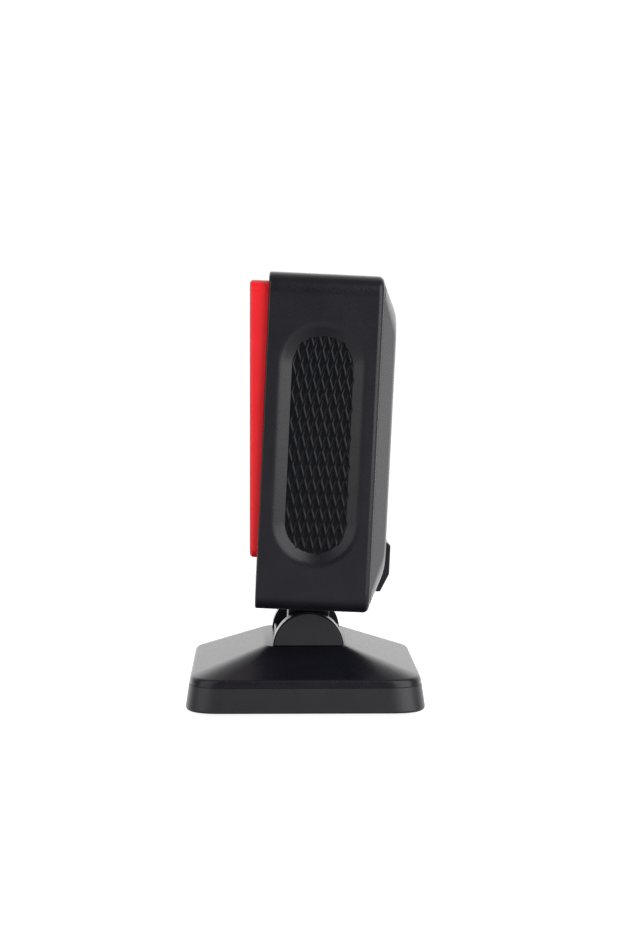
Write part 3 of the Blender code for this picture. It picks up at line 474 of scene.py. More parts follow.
def rod(radius, start, end, segments=48):
    """A round bar between two points."""
    start, end = Vector(start), Vector(end)
    bm = bmesh.new()
    bmesh.ops.create_cone(bm, cap_ends=True, segments=segments, radius1=radius, radius2=radius,
                          depth=(end - start).length)
    turn = Vector((0, 0, 1)).rotation_difference(end - start).to_matrix().to_4x4()
    bmesh.ops.transform(bm, matrix=Matrix.Translation((start + end) / 2) @ turn, verts=bm.verts)
    return bm


def prism_x(outline, start, end, edge=0.0, segments=3):
    """A (y, z) outline extruded along X, with its end edges rounded."""
    bm = loft([[(x, y, z) for y, z in outline] for x in (start, end)])
    if edge:
        bevel(bm, edges_at(bm, 0, start) + edges_at(bm, 0, end), edge, segments)
    return bm


def lathe(profile, steps=64):
    """A closed body turned about Z from (radius, height) points that start and end on the axis."""
    bm = bmesh.new()
    rings = [[bm.verts.new((radius * math.cos(math.tau * step / steps),
                            radius * math.sin(math.tau * step / steps), height)) for step in range(steps)]
             for radius, height in profile[1:-1]]
    bridge(bm, rings)
    bm.faces.new(rings[0])
    bm.faces.new(rings[-1])
    bmesh.ops.recalc_face_normals(bm, faces=bm.faces)
    return bm


def level_section(z, half_x, half_y, radius):
    """A rounded rectangle lying at a height."""
    return [(x, y, z) for x, y in rounded_rectangle(half_x, half_y, radius, 16)]


def skin_section(z, half_x, half_y, radius):
    """The base's outline at a height, with corners that start to curve gently."""
    return [(x, y, z) for x, y in soft_rectangle(half_x, half_y, CORNER_REACH * radius, 24)]


def upright_section(y, inset, radius):
    """The head's outline, drawn in by an inset, at a depth."""
    half_z = (HEAD_TOP - HEAD_BOTTOM) / 2 - inset
    outline = rounded_rectangle(HEAD_HALF - inset, half_z, radius, middle_v=HEAD_MID_Z)
    return [(x, y, z) for x, z in outline]


def window_slab(y_low, y_high, grow, radius):
    """A rounded slab over the window's outline, grown or shrunk on every side."""
    return slab((WINDOW_LOW.x - grow, y_low, WINDOW_LOW.z - grow),
                (WINDOW_HIGH.x + grow, y_high, WINDOW_HIGH.z + grow), 1, radius)


def mesh_of(bm, name="shape"):
    """A mesh made from a shape, which is used up."""
    mesh = bpy.data.meshes.new(name)
    bm.to_mesh(mesh)
    bm.free()
    return mesh


def worked(bm, *steps):
    """A shape after a row of Boolean steps, each an operation and the shape that it uses."""
    scene = bpy.context.scene.collection
    thing = bpy.data.objects.new("work", mesh_of(bm))
    scene.objects.link(thing)
    tools = []
    for operation, shape in steps:
        tool = bpy.data.objects.new("tool", mesh_of(shape))
        scene.objects.link(tool)
        modifier = thing.modifiers.new(operation, "BOOLEAN")
        modifier.operation = operation
        modifier.object = tool
        modifier.solver = "EXACT"
        tools.append(tool)
    evaluated = thing.evaluated_get(bpy.context.evaluated_depsgraph_get())
    result = bmesh.new()
    result.from_mesh(evaluated.to_mesh())
    evaluated.to_mesh_clear()
    for spent in (thing, *tools):
        mesh = spent.data
        bpy.data.objects.remove(spent)
        bpy.data.meshes.remove(mesh)
    return result


def piece(name, bm, place, body, slot, replaces=(), sharp=35, finish=None):
    """A finished piece: smooth where its surface is, on its body, in its finish."""
    bmesh.ops.remove_doubles(bm, verts=bm.verts, dist=WELD)
    bmesh.ops.transform(bm, matrix=place, verts=bm.verts)
    mesh = mesh_of(bm, name)
    mesh.shade_smooth()
    mesh.set_sharp_from_angle(angle=math.radians(sharp))
    mesh.materials.append(FINISHES[finish or slot])
    thing = bpy.data.objects.new(name, mesh)
    bpy.context.scene.collection.objects.link(thing)
    weighted = thing.modifiers.new("weighted_normals", "WEIGHTED_NORMAL")
    weighted.keep_sharp = True
    weighted.weight = 80
    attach(thing, body)
    if replaces:
        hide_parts(*replaces)
    return thing


# ---------------------------------------------------------------- base

def wall_half(z):
    """Half the base's side at a height, on the drafted wall."""
    return BASE_HALF + (RIM_HALF - BASE_HALF) * (z - GROUND_GAP) / (RIM_Z - GROUND_GAP)


def base_screw_places():
    """The (x, y) places of the four screws that join the base's shells."""
    offset = BASE_SCREW_OFFSET
    return [(offset, 0), (0, offset), (-offset, 0), (0, -offset)]


def base_tray():
    """The lower shell with its foot recesses and screw wells."""
    top = PARTING_Z - SEAM / 2
    half = wall_half(top)
    edges = (1.1, 0.12)
    corners = [(GROUND_GAP, BASE_HALF - 2, BASE_CORNER - 2), (GROUND_GAP, BASE_HALF, BASE_CORNER),
               (top, half, BASE_CORNER), (top, half - 1, BASE_CORNER - 1)]
    outer = [skin_section(z, side, side, corner) for z, side, corner in soft_path(corners, edges)]
    floor = GROUND_GAP + TRAY_WALL
    inside = [(z, wall_half(z) - TRAY_WALL) for z in (floor, top + OVERSHOOT)]
    cavity = [level_section(z, side, side, BASE_CORNER - TRAY_WALL) for z, side in inside]
    foot = (FOOT_LOW + FOOT_HIGH) / 2
    foot_radius = (FOOT_HIGH.x - FOOT_LOW.x) / 2 + GAP
    boss_radius, boss_top = 4.4, 6
    well_radius, seat = 3.2, 4.2
    hole_radius, hole_low, hole_high = 1.9, 3, 8
    under = -1
    steps = [("DIFFERENCE", loft(cavity))]
    for x, y in base_screw_places():
        steps += [("UNION", rod(boss_radius, (x, y, floor - GAP), (x, y, boss_top), 32)),
                  ("DIFFERENCE", rod(well_radius, (x, y, under), (x, y, seat), 40)),
                  ("DIFFERENCE", rod(hole_radius, (x, y, hole_low), (x, y, hole_high), 24))]
    steps += [("DIFFERENCE", rod(foot_radius, (x, y, under), (x, y, FOOT_HIGH.z + GAP)))
              for x in (-foot.x, foot.x) for y in (-foot.y, foot.y)]
    piece("stand_tray", worked(loft(outer), *steps), BASE, "base", "black_plastic", ["base_tray"],
          finish="black_plastic_coarse")


def ear_outline(radius, floor, segments=48):
    """A D standing on a floor: an arc on straight sides that run down to the floor."""
    rise = max(floor - EAR_CENTRE_Z, 0)
    first = math.degrees(math.asin(rise / radius))
    outline = arc((AXIS_Y, EAR_CENTRE_Z), radius, first, 180 - first, segments)
    if floor < EAR_CENTRE_Z:
        outline += [(AXIS_Y - radius, floor), (AXIS_Y + radius, floor)]
    return outline


def base_cover():
    """The upper shell: a blunt pyramid with the hinge's two ears."""
    foot = PARTING_Z + SEAM / 2
    half = wall_half(foot)
    edges = (0.12, 1.3, 1.2)
    corners = [(foot, half - 1, half - 1, BASE_CORNER - 1), (foot, half, half, BASE_CORNER),
               (RIM_Z, RIM_HALF, RIM_HALF, BASE_CORNER),
               (PLATEAU_Z, PLATEAU_HALF_X, PLATEAU_HALF_Y, PLATEAU_CORNER),
               (PLATEAU_Z, PLATEAU_HALF_X - 2, PLATEAU_HALF_Y - 2, PLATEAU_CORNER - 2)]
    outer = [skin_section(*section) for section in soft_path(corners, edges, 8)]
    lip_foot, lip_wall = 8, 1.5
    lip_half = wall_half(PARTING_Z) - TRAY_WALL - GAP
    corner = BASE_CORNER - TRAY_WALL - GAP
    lip = loft([level_section(z, lip_half, lip_half, corner) for z in (lip_foot, RIM_Z)])
    shoulder_z, roof = 10.8, 2.5
    inside = lip_half - lip_wall
    cavity = loft([level_section(lip_foot - OVERSHOOT, inside, inside, corner),
                   level_section(shoulder_z, inside, inside, corner),
                   level_section(PLATEAU_Z - roof, PLATEAU_HALF_X, PLATEAU_HALF_Y, PLATEAU_CORNER)])
    sunk = 1                       # how far joined shapes run into each other
    trough_wall = 2
    block_y = TROUGH_RADIUS + trough_wall
    block = slab((-EAR_OUTER + sunk, AXIS_Y - block_y, AXIS_Z - block_y),
                 (EAR_OUTER - sunk, AXIS_Y + block_y, PLATEAU_Z - sunk), 0, 1, 3)
    ear = ear_outline(EAR_RADIUS, PLATEAU_Z - 2 * sunk)
    above = PLATEAU_Z + 20
    trough = [(AXIS_Y + TROUGH_RADIUS, above), (AXIS_Y - TROUGH_RADIUS, above),
              *arc((AXIS_Y, AXIS_Z), TROUGH_RADIUS, 180, 360, 40)]
    saddle = cube((-EAR_INNER - sunk, AXIS_Y - SADDLE_HALF, PLATEAU_Z - sunk),
                  (EAR_INNER + sunk, AXIS_Y + SADDLE_HALF, SADDLE_Z))
    saddle_top = [edge for edge in edges_along(saddle, 0) if edge.verts[0].co.z > PLATEAU_Z]
    bevel(saddle, saddle_top, SADDLE_EDGE, 4)
    steps = [("UNION", lip), ("DIFFERENCE", cavity), ("UNION", block),
             ("UNION", prism_x(ear, -EAR_OUTER, -EAR_INNER, EAR_EDGE)),
             ("UNION", prism_x(ear, EAR_INNER, EAR_OUTER, EAR_EDGE)), ("UNION", saddle),
             ("DIFFERENCE", prism_x(trough, -EAR_INNER, EAR_INNER))]
    recess = ear_outline(EAR_RADIUS - CAP_RIM, CAP_FLOOR)
    nut_radius, nut_depth = 4.25, 3.6
    for side in (-1, 1):
        outside = side * (EAR_OUTER + OVERSHOOT)
        floor = side * (EAR_OUTER - CAP_DEPTH - nut_depth)
        steps += [("DIFFERENCE", prism_x(recess, side * (EAR_OUTER - CAP_DEPTH), outside)),
                  ("DIFFERENCE", rod(nut_radius, (floor, AXIS_Y, AXIS_Z), (outside, AXIS_Y, AXIS_Z), 6)),
                  ("DIFFERENCE", rod(PIN_HOLE, (side * (EAR_INNER - OVERSHOOT), AXIS_Y, AXIS_Z),
                                     (floor + side * GAP, AXIS_Y, AXIS_Z), 32))]
    post_radius, post_low, post_high = 3.4, 6.3, 12.2
    hole_radius, hole_low, hole_high = 1.8, 4, 11
    for x, y in base_screw_places():
        steps += [("UNION", rod(post_radius, (x, y, post_low), (x, y, post_high), 24)),
                  ("DIFFERENCE", rod(hole_radius, (x, y, hole_low), (x, y, hole_high), 20))]
    piece("stand_top", worked(loft(outer), *steps), BASE, "base", "black_plastic", ["base_cover"])


def hinge_caps():
    """The D-shaped caps in the ears, with a fine rounded edge."""
    outline = ear_outline(EAR_RADIUS - CAP_RIM - CAP_SEAM, CAP_FLOOR + CAP_SEAM, 64)
    inner = CAP_LOW.x
    for side, word in ((-1, "left"), (1, "right")):
        shape = prism_x(outline, side * inner, side * CAP_HIGH.x, CAP_EDGE, 4)
        piece(f"cap_{word}", shape, BASE, "base", "black_plastic", [f"hinge_cap_{word}"],
              finish="black_plastic_coarse")


def feet():
    """Rubber pads with a moulded hollow in the middle."""
    radius = (FOOT_HIGH.x - FOOT_LOW.x) / 2
    top = FOOT_HIGH.z
    hollow_radius, hollow_slope, hollow_depth = radius - 1.6, 0.5, 0.35
    corners = [(0, top), (radius, top), (radius, 0), (hollow_radius, 0),
               (hollow_radius - hollow_slope, hollow_depth), (0, hollow_depth)]
    edges = (0.15, 0.5, 0.2, 0.2)
    profile = soft_path(corners, edges, 4)
    for number in range(1, 5):
        low, high = extents(f"foot_{number}", BASE)
        shape = lathe(profile)
        bmesh.ops.translate(shape, vec=((low.x + high.x) / 2, (low.y + high.y) / 2, 0), verts=shape.verts)
        piece(f"foot_pad_{number}", shape, BASE, "base", "foot_rubber", [f"foot_{number}"])


# ---------------------------------------------------------------- grips

def lozenge_centre(y, z):
    """The centre of the lozenge that a point lies in."""
    across, up = (y - CELL_SHIFT_Y) / CELL_HALF_Y, (z - DISH_MID_Z - CELL_SHIFT_Z) / CELL_HALF_Z
    middle_u, middle_v = math.floor((across + up) / 2) + 0.5, math.floor((across - up) / 2) + 0.5
    return (CELL_SHIFT_Y + (middle_u + middle_v) * CELL_HALF_Y,
            DISH_MID_Z + CELL_SHIFT_Z + (middle_u - middle_v) * CELL_HALF_Z)


def stadium(half_y, half_z, segments=40):
    """The (y, z) points of a slot with round ends, on the middle of the side dish."""
    top = arc((DISH_MID_Y, DISH_MID_Z + half_z - half_y), half_y, 0, 180, segments)
    bottom = arc((DISH_MID_Y, DISH_MID_Z - half_z + half_y), half_y, 180, 360, segments)
    return top + bottom


def in_stadium(y, z, half_y, half_z):
    """Whether a point lies in a slot with round ends, on the middle of the side dish."""
    reach = half_z - half_y
    over = max(abs(z - DISH_MID_Z) - reach, 0)
    return math.hypot(y - DISH_MID_Y, over) < half_y


def stadium_walk(step):
    """Points about a step apart once round the grip's slot: y, z and the direction out of it."""
    half_y = GRIP_HALF_Y
    reach = GRIP_HALF_Z - half_y
    count = round(2 * reach / step)
    turns = round(math.pi * half_y / step)
    path = []
    for side, first in ((1, 0), (-1, math.pi)):
        path += [(DISH_MID_Y + side * half_y, DISH_MID_Z - side * (reach - 2 * reach * i / count), side, 0)
                 for i in range(count)]
        for angle in (first + math.pi * i / turns for i in range(turns)):
            out_y, out_z = math.cos(angle), math.sin(angle)
            path.append((DISH_MID_Y + half_y * out_y, DISH_MID_Z + side * reach + half_y * out_z,
                         out_y, out_z))
    return path


def grip_outline(margin):
    """The grip's scalloped edge: the slot, grown where a lozenge with its centre inside runs past it."""
    step, growth, nudge = 0.3, 0.05, 0.01
    outline = []
    for y, z, out_y, out_z in stadium_walk(step):
        centre = lozenge_centre(y - nudge * out_y, z - nudge * out_z)
        grown = 0.0
        if in_stadium(*centre, GRIP_HALF_Y - GAP, GRIP_HALF_Z - GAP):
            while grown < OVERHANG and lozenge_centre(y + (grown + growth) * out_y,
                                                      z + (grown + growth) * out_z) == centre:
                grown += growth
        outline.append((y + (grown - margin) * out_y, z + (grown - margin) * out_z))
    return outline


def grip_relief(face, floor):
    """A plate whose face is a flat net round sunk lozenges."""
    bm = bmesh.new()
    corners = {}
    apothem = CELL_HALF_Y * CELL_HALF_Z / math.hypot(CELL_HALF_Y, CELL_HALF_Z)
    rim_share = 1 - CELL_NET / 2 / apothem
    floor_share = rim_share - CELL_WALLS / apothem

    def crossing(y, z):
        """The net's corner at a place, shared by the lozenges that meet there."""
        key = (round(y, 3), round(z, 3))
        if key not in corners:
            corners[key] = bm.verts.new((face, y, z))
        return corners[key]

    rows = math.ceil(GRIP_HALF_Z / CELL_HALF_Z) + 2
    columns = math.ceil(GRIP_HALF_Y / CELL_HALF_Y) + 2
    edges = []
    for row in range(-rows, rows + 1):
        for column in range(-columns, columns + 1):
            if (row + column) % 2 == 0:
                continue
            y = CELL_SHIFT_Y + column * CELL_HALF_Y
            z = DISH_MID_Z + CELL_SHIFT_Z + row * CELL_HALF_Z
            tips = [(CELL_HALF_Y, 0), (0, CELL_HALF_Z), (-CELL_HALF_Y, 0), (0, -CELL_HALF_Z)]
            bounds = [crossing(y + a, z + b) for a, b in tips]
            rims = [bm.verts.new((face, y + rim_share * a, z + rim_share * b)) for a, b in tips]
            floors = [bm.verts.new((face - CELL_DEPTH, y + CELL_LEAN_Y + floor_share * a,
                                    z + CELL_LEAN_Z + floor_share * b)) for a, b in tips]
            for index in range(4):
                after = (index + 1) % 4
                bm.faces.new((bounds[index], bounds[after], rims[after], rims[index]))
                bm.faces.new((rims[index], rims[after], floors[after], floors[index]))
                edges.append(bm.edges.get((rims[index], rims[after])))
            bm.faces.new(floors)
    bevel(bm, edges, CELL_EDGE, 2)
    border = [edge for edge in bm.edges if len(edge.link_faces) == 1]
    sunk = bmesh.ops.extrude_edge_only(bm, edges=border)["geom"]
    for item in sunk:
        if isinstance(item, bmesh.types.BMVert):
            item.co.x = floor
    rim = [edge for edge in bm.edges if len(edge.link_faces) == 1]
    bmesh.ops.contextual_create(bm, geom=rim)
    bmesh.ops.recalc_face_normals(bm, faces=bm.faces)
    return bm


def mirrored(bm):
    """The shape's mirror image across the head's middle."""
    bmesh.ops.scale(bm, vec=(-1, 1, 1), verts=bm.verts)
    bmesh.ops.reverse_faces(bm, faces=bm.faces)
    return bm


def side_grips():
    """The rubber inserts with the lozenge relief in the side dishes."""
    margin = 0.06
    for side, word in ((-1, "left"), (1, "right")):
        plate = grip_relief(GRIP_HIGH.x, GRIP_LOW.x)
        shape = worked(plate, ("INTERSECT", prism_x(grip_outline(margin), GRIP_LOW.x + 0.05, HEAD_HALF)))
        if side < 0:
            shape = mirrored(shape)
        piece(f"grip_{word}", shape, HEAD, "head", "grip_rubber", [f"side_grip_{word}"], sharp=25)


# ---------------------------------------------------------------- head

def dished_side(bm, side):
    """Replaces a side face of the casing by one with a soft-edged dish."""
    x = side * HEAD_HALF
    flat = max((face for face in bm.faces if abs(face.calc_center_median().x - x) < 0.01),
               key=lambda face: face.calc_area())
    border = list(flat.edges)
    bmesh.ops.delete(bm, geom=[flat], context="FACES_ONLY")
    rim, foot = 1.6, 0.7           # the flats before and after the slope
    edges = (1.3, 0.3)
    profile = soft_path([(rim, 0), (0, 0), (-DISH_SLOPE, DISH_DEPTH), (-DISH_SLOPE - foot, DISH_DEPTH)],
                        edges, 8)
    rings = []
    for grow, depth in profile:
        half_y = GRIP_HALF_Y + DISH_SLOPE + grow
        half_z = GRIP_HALF_Z + DISH_SLOPE + grow
        level = side * (HEAD_HALF - depth)
        rings.append([bm.verts.new((level, y, z)) for y, z in stadium(half_y, half_z)])
    bridge(bm, rings)
    bm.faces.new(rings[-1])
    border += [bm.edges.get(ends) for ends in zip(rings[0], rings[0][1:] + rings[0][:1])]
    bmesh.ops.triangle_fill(bm, use_beauty=True, edges=border)


def head_casing():
    """The main shell: a soft-edged box with side dishes, open at the rear and the window."""
    front, rear = 0.8, 2.0         # the radii of the front and rear edges
    edges = [(HEAD_FRONT + front - y, front - x) for x, y in arc((0, 0), front, 90, 0, 5)]
    edges += [(HEAD_REAR - rear + y, rear - x) for x, y in arc((0, 0), rear, 0, 90, 10)]
    half_z = (HEAD_TOP - HEAD_BOTTOM) / 2
    closing = 1.17                 # how fast the corners close as the outline is drawn in
    sections = []
    for y, inset in edges:
        outline = soft_rectangle(HEAD_HALF - inset, half_z - inset, HEAD_CORNER - closing * inset, 18,
                                 HEAD_MID_Z)
        sections.append([(x, y, z) for x, z in outline])
    bm = loft(sections)
    for side in (-1, 1):
        dished_side(bm, side)
    bmesh.ops.recalc_face_normals(bm, faces=bm.faces)
    inside = HEAD_HALF - HEAD_WALL
    pocket = GRIP_LOW.x - 0.05
    backing = GRIP_LOW.x - 2       # the casing is thicker behind the grips
    pad_y, pad_z = GRIP_HALF_Y + 2, GRIP_HALF_Z + 2
    pads = []
    for side in (-1, 1):
        low_x, high_x = sorted((side * backing, side * (inside + 1)))
        pads.append(slab((low_x, -pad_y, DISH_MID_Z - pad_z), (high_x, pad_y, DISH_MID_Z + pad_z),
                         0, 10, 8))
    cavity = worked(slab((-inside, FRONT_INSIDE, HEAD_BOTTOM + HEAD_WALL),
                         (inside, HEAD_REAR + OVERSHOOT, HEAD_TOP - HEAD_WALL), 1, 3, 8),
                    *[("DIFFERENCE", pad) for pad in pads])
    outline = grip_outline(0.0)
    steps = [("DIFFERENCE", cavity)]
    for side in (-1, 1):
        prism = prism_x(outline, pocket, HEAD_HALF - DISH_DEPTH + 1.2)
        steps.append(("DIFFERENCE", mirrored(prism) if side < 0 else prism))
    pipe_x, pipe_z = (PIPE_LOW.x + PIPE_HIGH.x) / 2, (PIPE_LOW.z + PIPE_HIGH.z) / 2
    pipe_radius = 1.65
    pipe_hole = rod(pipe_radius, (pipe_x, HEAD_FRONT - OVERSHOOT, pipe_z),
                    (pipe_x, FRONT_INSIDE + OVERSHOOT, pipe_z))
    notch = slab((-PLUG_HALF, PLUG_FRONT, HEAD_BOTTOM - OVERSHOOT),
                 (PLUG_HALF, HEAD_REAR + OVERSHOOT, HEAD_BOTTOM + HEAD_WALL + OVERSHOOT), 2, 0.4, 4)
    steps += [("DIFFERENCE", window_slab(HEAD_FRONT - OVERSHOOT, LEDGE_Y, GAP, WINDOW_CORNER)),
              ("DIFFERENCE", window_slab(LEDGE_Y - OVERSHOOT, FRONT_INSIDE + 1, -LEDGE_WIDTH, 2)),
              ("DIFFERENCE", pipe_hole), ("DIFFERENCE", notch)]
    piece("casing_shell", worked(bm, *steps), HEAD, "head", "black_plastic", ["head_casing"])


def rear_cover():
    """The bevelled back with the hood over the cable socket and two sunk screws."""
    edges = (0.15, 2.4)
    corners = [(COVER_FRONT, COVER_EDGE_INSET + 1, 4.0), (COVER_FRONT, COVER_EDGE_INSET, 5.0),
               (COVER_REAR, COVER_FLAT_INSET, 10.0), (COVER_REAR, COVER_FLAT_INSET + 4, 6.0)]
    outer = loft([upright_section(*section) for section in soft_path(corners, edges, 8)])
    cover_wall = 2
    skirt_inset, skirt_wall, skirt_corner = HEAD_WALL + 0.4, 1.6, 4.5
    skirt = loft([upright_section(y, skirt_inset, skirt_corner) for y in (COVER_LOW.y, COVER_FRONT + 0.5)])
    inner_inset, inner_corner = skirt_inset + skirt_wall, 3.5
    cavity = loft([upright_section(COVER_LOW.y - OVERSHOOT, inner_inset, inner_corner),
                   upright_section(COVER_FRONT, inner_inset, inner_corner),
                   upright_section(COVER_REAR - cover_wall, COVER_FLAT_INSET + 1.5, 8)])
    outline = [(HOOD_ROOT, HOOD_TOP), (COVER_HIGH.y - HOOD_CHAMFER_Y, HOOD_TOP),
               (COVER_HIGH.y, HOOD_TOP - HOOD_CHAMFER_Z), (COVER_HIGH.y, HOOD_BEND_Z),
               (HOOD_FOOT_Y, HOOD_FOOT_Z), (HOOD_ROOT, HOOD_FOOT_Z)]
    hood = prism_x(outline, -HOOD_HALF, HOOD_HALF)
    outside = [edge for edge in hood.edges if all(vert.co.y > HOOD_ROOT + 0.1 for vert in edge.verts)]
    bevel(hood, outside, HOOD_EDGE, 4)
    pocket, pocket_front = SOCKET_HIGH.x + GAP, 12
    below = HEAD_BOTTOM - OVERSHOOT
    steps = [("UNION", skirt), ("DIFFERENCE", cavity), ("UNION", hood),
             ("DIFFERENCE", cube((-pocket, pocket_front, SOCKET_LOW.z - GAP),
                                 (pocket, SOCKET_HIGH.y + GAP, SOCKET_HIGH.z + GAP))),
             ("DIFFERENCE", cube((-PLUG_HALF, PLUG_FRONT, below),
                                 (PLUG_HALF, PLUG_REAR, SOCKET_LOW.z + 1))),
             ("DIFFERENCE", cube((-pocket, pocket_front, below),
                                 (pocket, PLUG_FRONT + 1.6, SOCKET_LOW.z)))]
    sleeve_radius, sleeve_front = 5, COVER_REAR - 8 + GAP
    well_radius, mouth_radius, hole_radius = 3.4, 3.8, 1.9
    seat, proud = COVER_REAR - 4.2, COVER_REAR + OVERSHOOT
    for side in (-1, 1):
        x = side * REAR_SCREW_X
        well = lathe([(0, seat), (well_radius, seat), (well_radius, COVER_REAR - 0.35),
                      (mouth_radius, COVER_REAR + 0.05), (mouth_radius, proud), (0, proud)])
        bmesh.ops.transform(well, matrix=Matrix.Translation((x, 0, REAR_SCREW_Z))
                            @ Matrix.Rotation(math.radians(-90), 4, "X"), verts=well.verts)
        sleeve = rod(sleeve_radius, (x, sleeve_front, REAR_SCREW_Z), (x, COVER_REAR - 1, REAR_SCREW_Z), 32)
        hole = rod(hole_radius, (x, sleeve_front - OVERSHOOT, REAR_SCREW_Z),
                   (x, seat + GAP, REAR_SCREW_Z), 24)
        steps += [("UNION", sleeve), ("DIFFERENCE", well), ("DIFFERENCE", hole)]
    piece("back_shell", worked(outer, *steps), HEAD, "head", "black_plastic", ["rear_cover"])


def front_bezel():
    """The red wedge-shaped frame round the window."""
    back = HEAD_FRONT
    half_x = BEZEL_HIGH.x
    half_z = (BEZEL_HIGH.z - BEZEL_LOW.z) / 2
    middle = (BEZEL_HIGH.z + BEZEL_LOW.z) / 2
    slope = BEZEL_WEDGE / (2 * half_z)
    front_middle = BEZEL_LOW.y + slope * half_z

    def ring(inset, corner, behind=None, depth=None):
        """The frame's outline drawn in by an inset: some way behind its sloping face, or at a depth."""
        outline = rounded_rectangle(half_x - inset, half_z - inset, corner, 14, middle)
        return [(x, front_middle - slope * (z - middle) + behind if depth is None else depth, z)
                for x, z in outline]

    sections = [ring(0, BEZEL_CORNER, depth=back)]
    for out, forward in arc((0, 0), BEZEL_EDGE, 0, 90, 8):
        inset = BEZEL_EDGE - out
        sections.append(ring(inset, BEZEL_CORNER - inset, behind=BEZEL_EDGE - forward))
    mouth = half_x - WINDOW_HIGH.x - GAP
    lip = mouth - BEZEL_LIP
    sections += [ring(lip - 0.5, 3.6, behind=0.0), ring(lip - 0.15, 3.4, behind=0.08),
                 ring(lip, 3.2, behind=0.4), ring(mouth - 0.1, 2.4, depth=BEZEL_LOW.y + 4.3),
                 ring(mouth, WINDOW_CORNER, depth=BEZEL_LOW.y + 4.6),
                 ring(mouth, WINDOW_CORNER, depth=back)]
    piece("red_frame", loft(sections, closed=True), HEAD, "head", "red_plastic", ["front_bezel"])


def window():
    """The tinted pane with a polished edge."""
    half_x = WINDOW_HIGH.x
    half_z = (WINDOW_HIGH.z - WINDOW_LOW.z) / 2
    middle = (WINDOW_HIGH.z + WINDOW_LOW.z) / 2
    corner = 2.2
    edges = (0.3, 0.3)
    corners = [(WINDOW_LOW.y, 1), (WINDOW_LOW.y, 0), (WINDOW_HIGH.y, 0), (WINDOW_HIGH.y, 1)]
    sections = []
    for y, inset in soft_path(corners, edges, 4):
        outline = rounded_rectangle(half_x - inset, half_z - inset, corner - inset, 8, middle)
        sections.append([(x, y, z) for x, z in outline])
    piece("window_pane", loft(sections), HEAD, "head", "window_tint", ["scan_window"])


def neck():
    """The knuckle between the ears, whose block carries the head."""
    radius = -NECK_LOW.z
    top = NECK_HIGH.z
    outline = [(radius, top), (-radius, top), *arc((0, 0), radius, 180, 360, 48)]
    edge, past = 0.35, 1
    shape = prism_x(outline, NECK_LOW.x, NECK_HIGH.x, edge, 4)
    bore = rod(PIN_HOLE, (NECK_LOW.x - past, 0, 0), (NECK_HIGH.x + past, 0, 0))
    piece("knuckle", worked(shape, ("DIFFERENCE", bore)), HEAD, "head", "black_plastic", ["neck_knuckle"])


# ---------------------------------------------------------------- studio

def glowing(name, colour, strength):
    """A white material that shines by itself, so that the ground stays even."""
    material = bpy.data.materials.new(name)
    material.use_nodes = True
    shader = material.node_tree.nodes["Principled BSDF"]
    for socket, value in (("Base Color", (*colour, 1)), ("Roughness", 1.0), ("Specular IOR Level", 0.0),
                          ("Emission Color", (1, 1, 1, 1)), ("Emission Strength", strength)):
        shader.inputs[socket].default_value = value
    return material


def sweep():
    """A white dome and floor that only the camera sees. The floor takes a faint shadow."""
    dome_radius, floor_radius = 6, 5.9
    bm = bmesh.new()
    bmesh.ops.create_icosphere(bm, subdivisions=5, radius=dome_radius)
    dome = bpy.data.objects.new("backdrop", mesh_of(bm, "backdrop"))
    dome.data.materials.append(glowing("backdrop_white", (0, 0, 0), 1.02))
    bm = bmesh.new()
    bmesh.ops.create_circle(bm, cap_ends=True, radius=floor_radius, segments=96)
    floor = bpy.data.objects.new("floor", mesh_of(bm, "floor"))
    floor.location = (0, 0, -0.0001)
    floor.data.materials.append(glowing("floor_white", (0.5, 0.5, 0.5), 0.92))
    for thing in (dome, floor):
        bpy.context.scene.collection.objects.link(thing)
        thing.visible_diffuse = False
        thing.visible_glossy = False
        thing.visible_transmission = False
        thing.visible_shadow = False


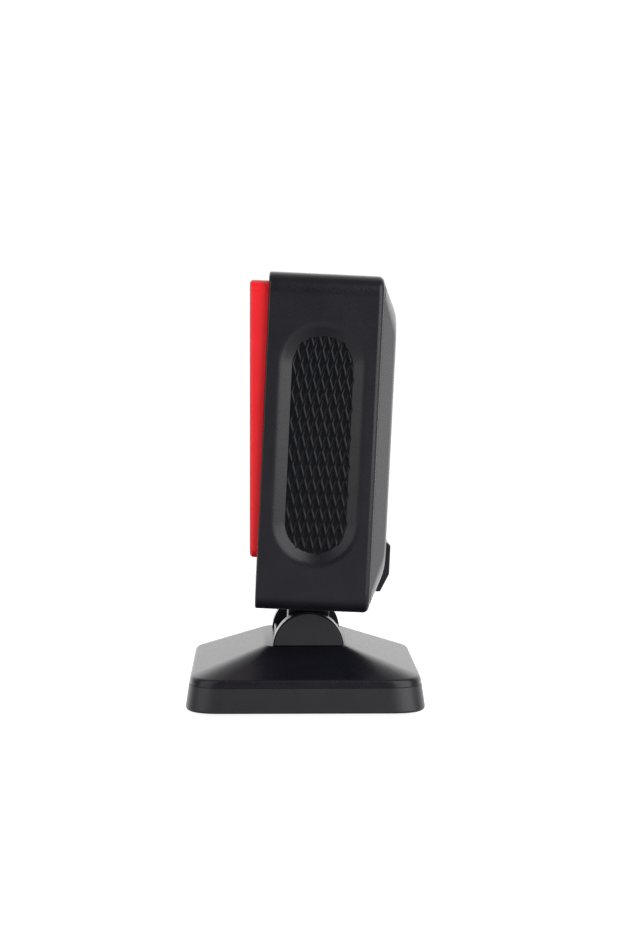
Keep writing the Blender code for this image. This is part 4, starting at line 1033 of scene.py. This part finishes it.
def room():
    """The light from all round: bright behind the object and below the horizon, dim elsewhere."""
    world = bpy.data.worlds.new("studio")
    bpy.context.scene.world = world
    world.use_nodes = True
    tree = world.node_tree
    direction = tree.nodes.new("ShaderNodeTexCoord").outputs["Generated"]
    split = tree.nodes.new("ShaderNodeSeparateXYZ")
    tree.links.new(direction, split.inputs["Vector"])

    def ramp(axis, start, end, low, high):
        """A level that goes smoothly from low to high along an axis of the direction to the room."""
        made = tree.nodes.new("ShaderNodeMapRange")
        made.interpolation_type = "SMOOTHSTEP"
        tree.links.new(split.outputs[axis], made.inputs["Value"])
        for socket, number in (("From Min", start), ("From Max", end), ("To Min", low), ("To Max", high)):
            made.inputs[socket].default_value = number
        return made.outputs["Result"]

    def joined(operation, *levels):
        """The sum or the product of two or more levels."""
        total = levels[0]
        for level in levels[1:]:
            made = tree.nodes.new("ShaderNodeMath")
            made.operation = operation
            tree.links.new(total, made.inputs[0])
            tree.links.new(level, made.inputs[1])
            total = made.outputs["Value"]
        return total

    behind = joined("MULTIPLY", ramp("X", -0.95, -0.25, 1.35, 0.0), ramp("Z", 0.4, 0.9, 1.0, 0.25),
                    ramp("Z", -0.5, 0.0, 0.2, 1.0))
    below = ramp("Z", -0.08, 0.10, 0.66, 0.0)
    above = joined("MULTIPLY", ramp("Z", -0.08, 0.10, 0.0, 0.24), ramp("X", 0.3, 0.8, 1.0, 0.3))
    around = joined("MULTIPLY", joined("ADD", below, above), ramp("Z", -0.95, -0.6, 0.15, 1.0))
    rear_side = ramp("Y", 0.3, 1.0, 0.0, 0.12)
    background = tree.nodes["Background"]
    background.inputs["Color"].default_value = (1, 1, 1, 1)
    tree.links.new(joined("ADD", behind, around, rear_side), background.inputs["Strength"])


def soft_boxes():
    """Broad lights at a distance from the object's middle: azimuth, elevation, size, radiance."""
    distance = 0.8
    middle = (CAD_BOX[0] + CAD_BOX[1]) / 2
    for name, azimuth, elevation, width, height, radiance in (
            ("soft_box_right", 47, 22, 0.8, 0.9, 2.75), ("soft_box_left", -54, 25, 0.75, 0.9, 1.3),
            ("soft_box_top", 180, 66, 0.9, 0.6, 0.4)):
        turn, rise = math.radians(azimuth), math.radians(elevation)
        toward_light = Vector((math.cos(rise) * math.cos(turn), math.cos(rise) * math.sin(turn),
                               math.sin(rise)))
        data = bpy.data.lights.new(name, "AREA")
        data.shape = "RECTANGLE"
        data.size = width
        data.size_y = height
        data.energy = radiance * math.pi * width * height
        lamp = bpy.data.objects.new(name, data)
        lamp.location = middle + toward_light * distance
        lamp.rotation_euler = toward_light.to_track_quat("Z", "Y").to_euler()
        lamp.visible_camera = False
        bpy.context.scene.collection.objects.link(lamp)


def studio():
    """A white sweep, the light of a dim room with a bright back, and three soft boxes."""
    bpy.context.scene.view_settings.view_transform = "Standard"
    bpy.context.scene.view_settings.look = "None"
    sweep()
    room()
    soft_boxes()


# ---------------------------------------------------------------- assembly

for carried in frame["nodes"].values():
    for place in carried.material_slots:
        place.material = FINISHES[place.material.name.split(".")[0]]

base_tray()
base_cover()
hinge_caps()
feet()
head_casing()
rear_cover()
front_bezel()
window()
side_grips()
neck()
studio()
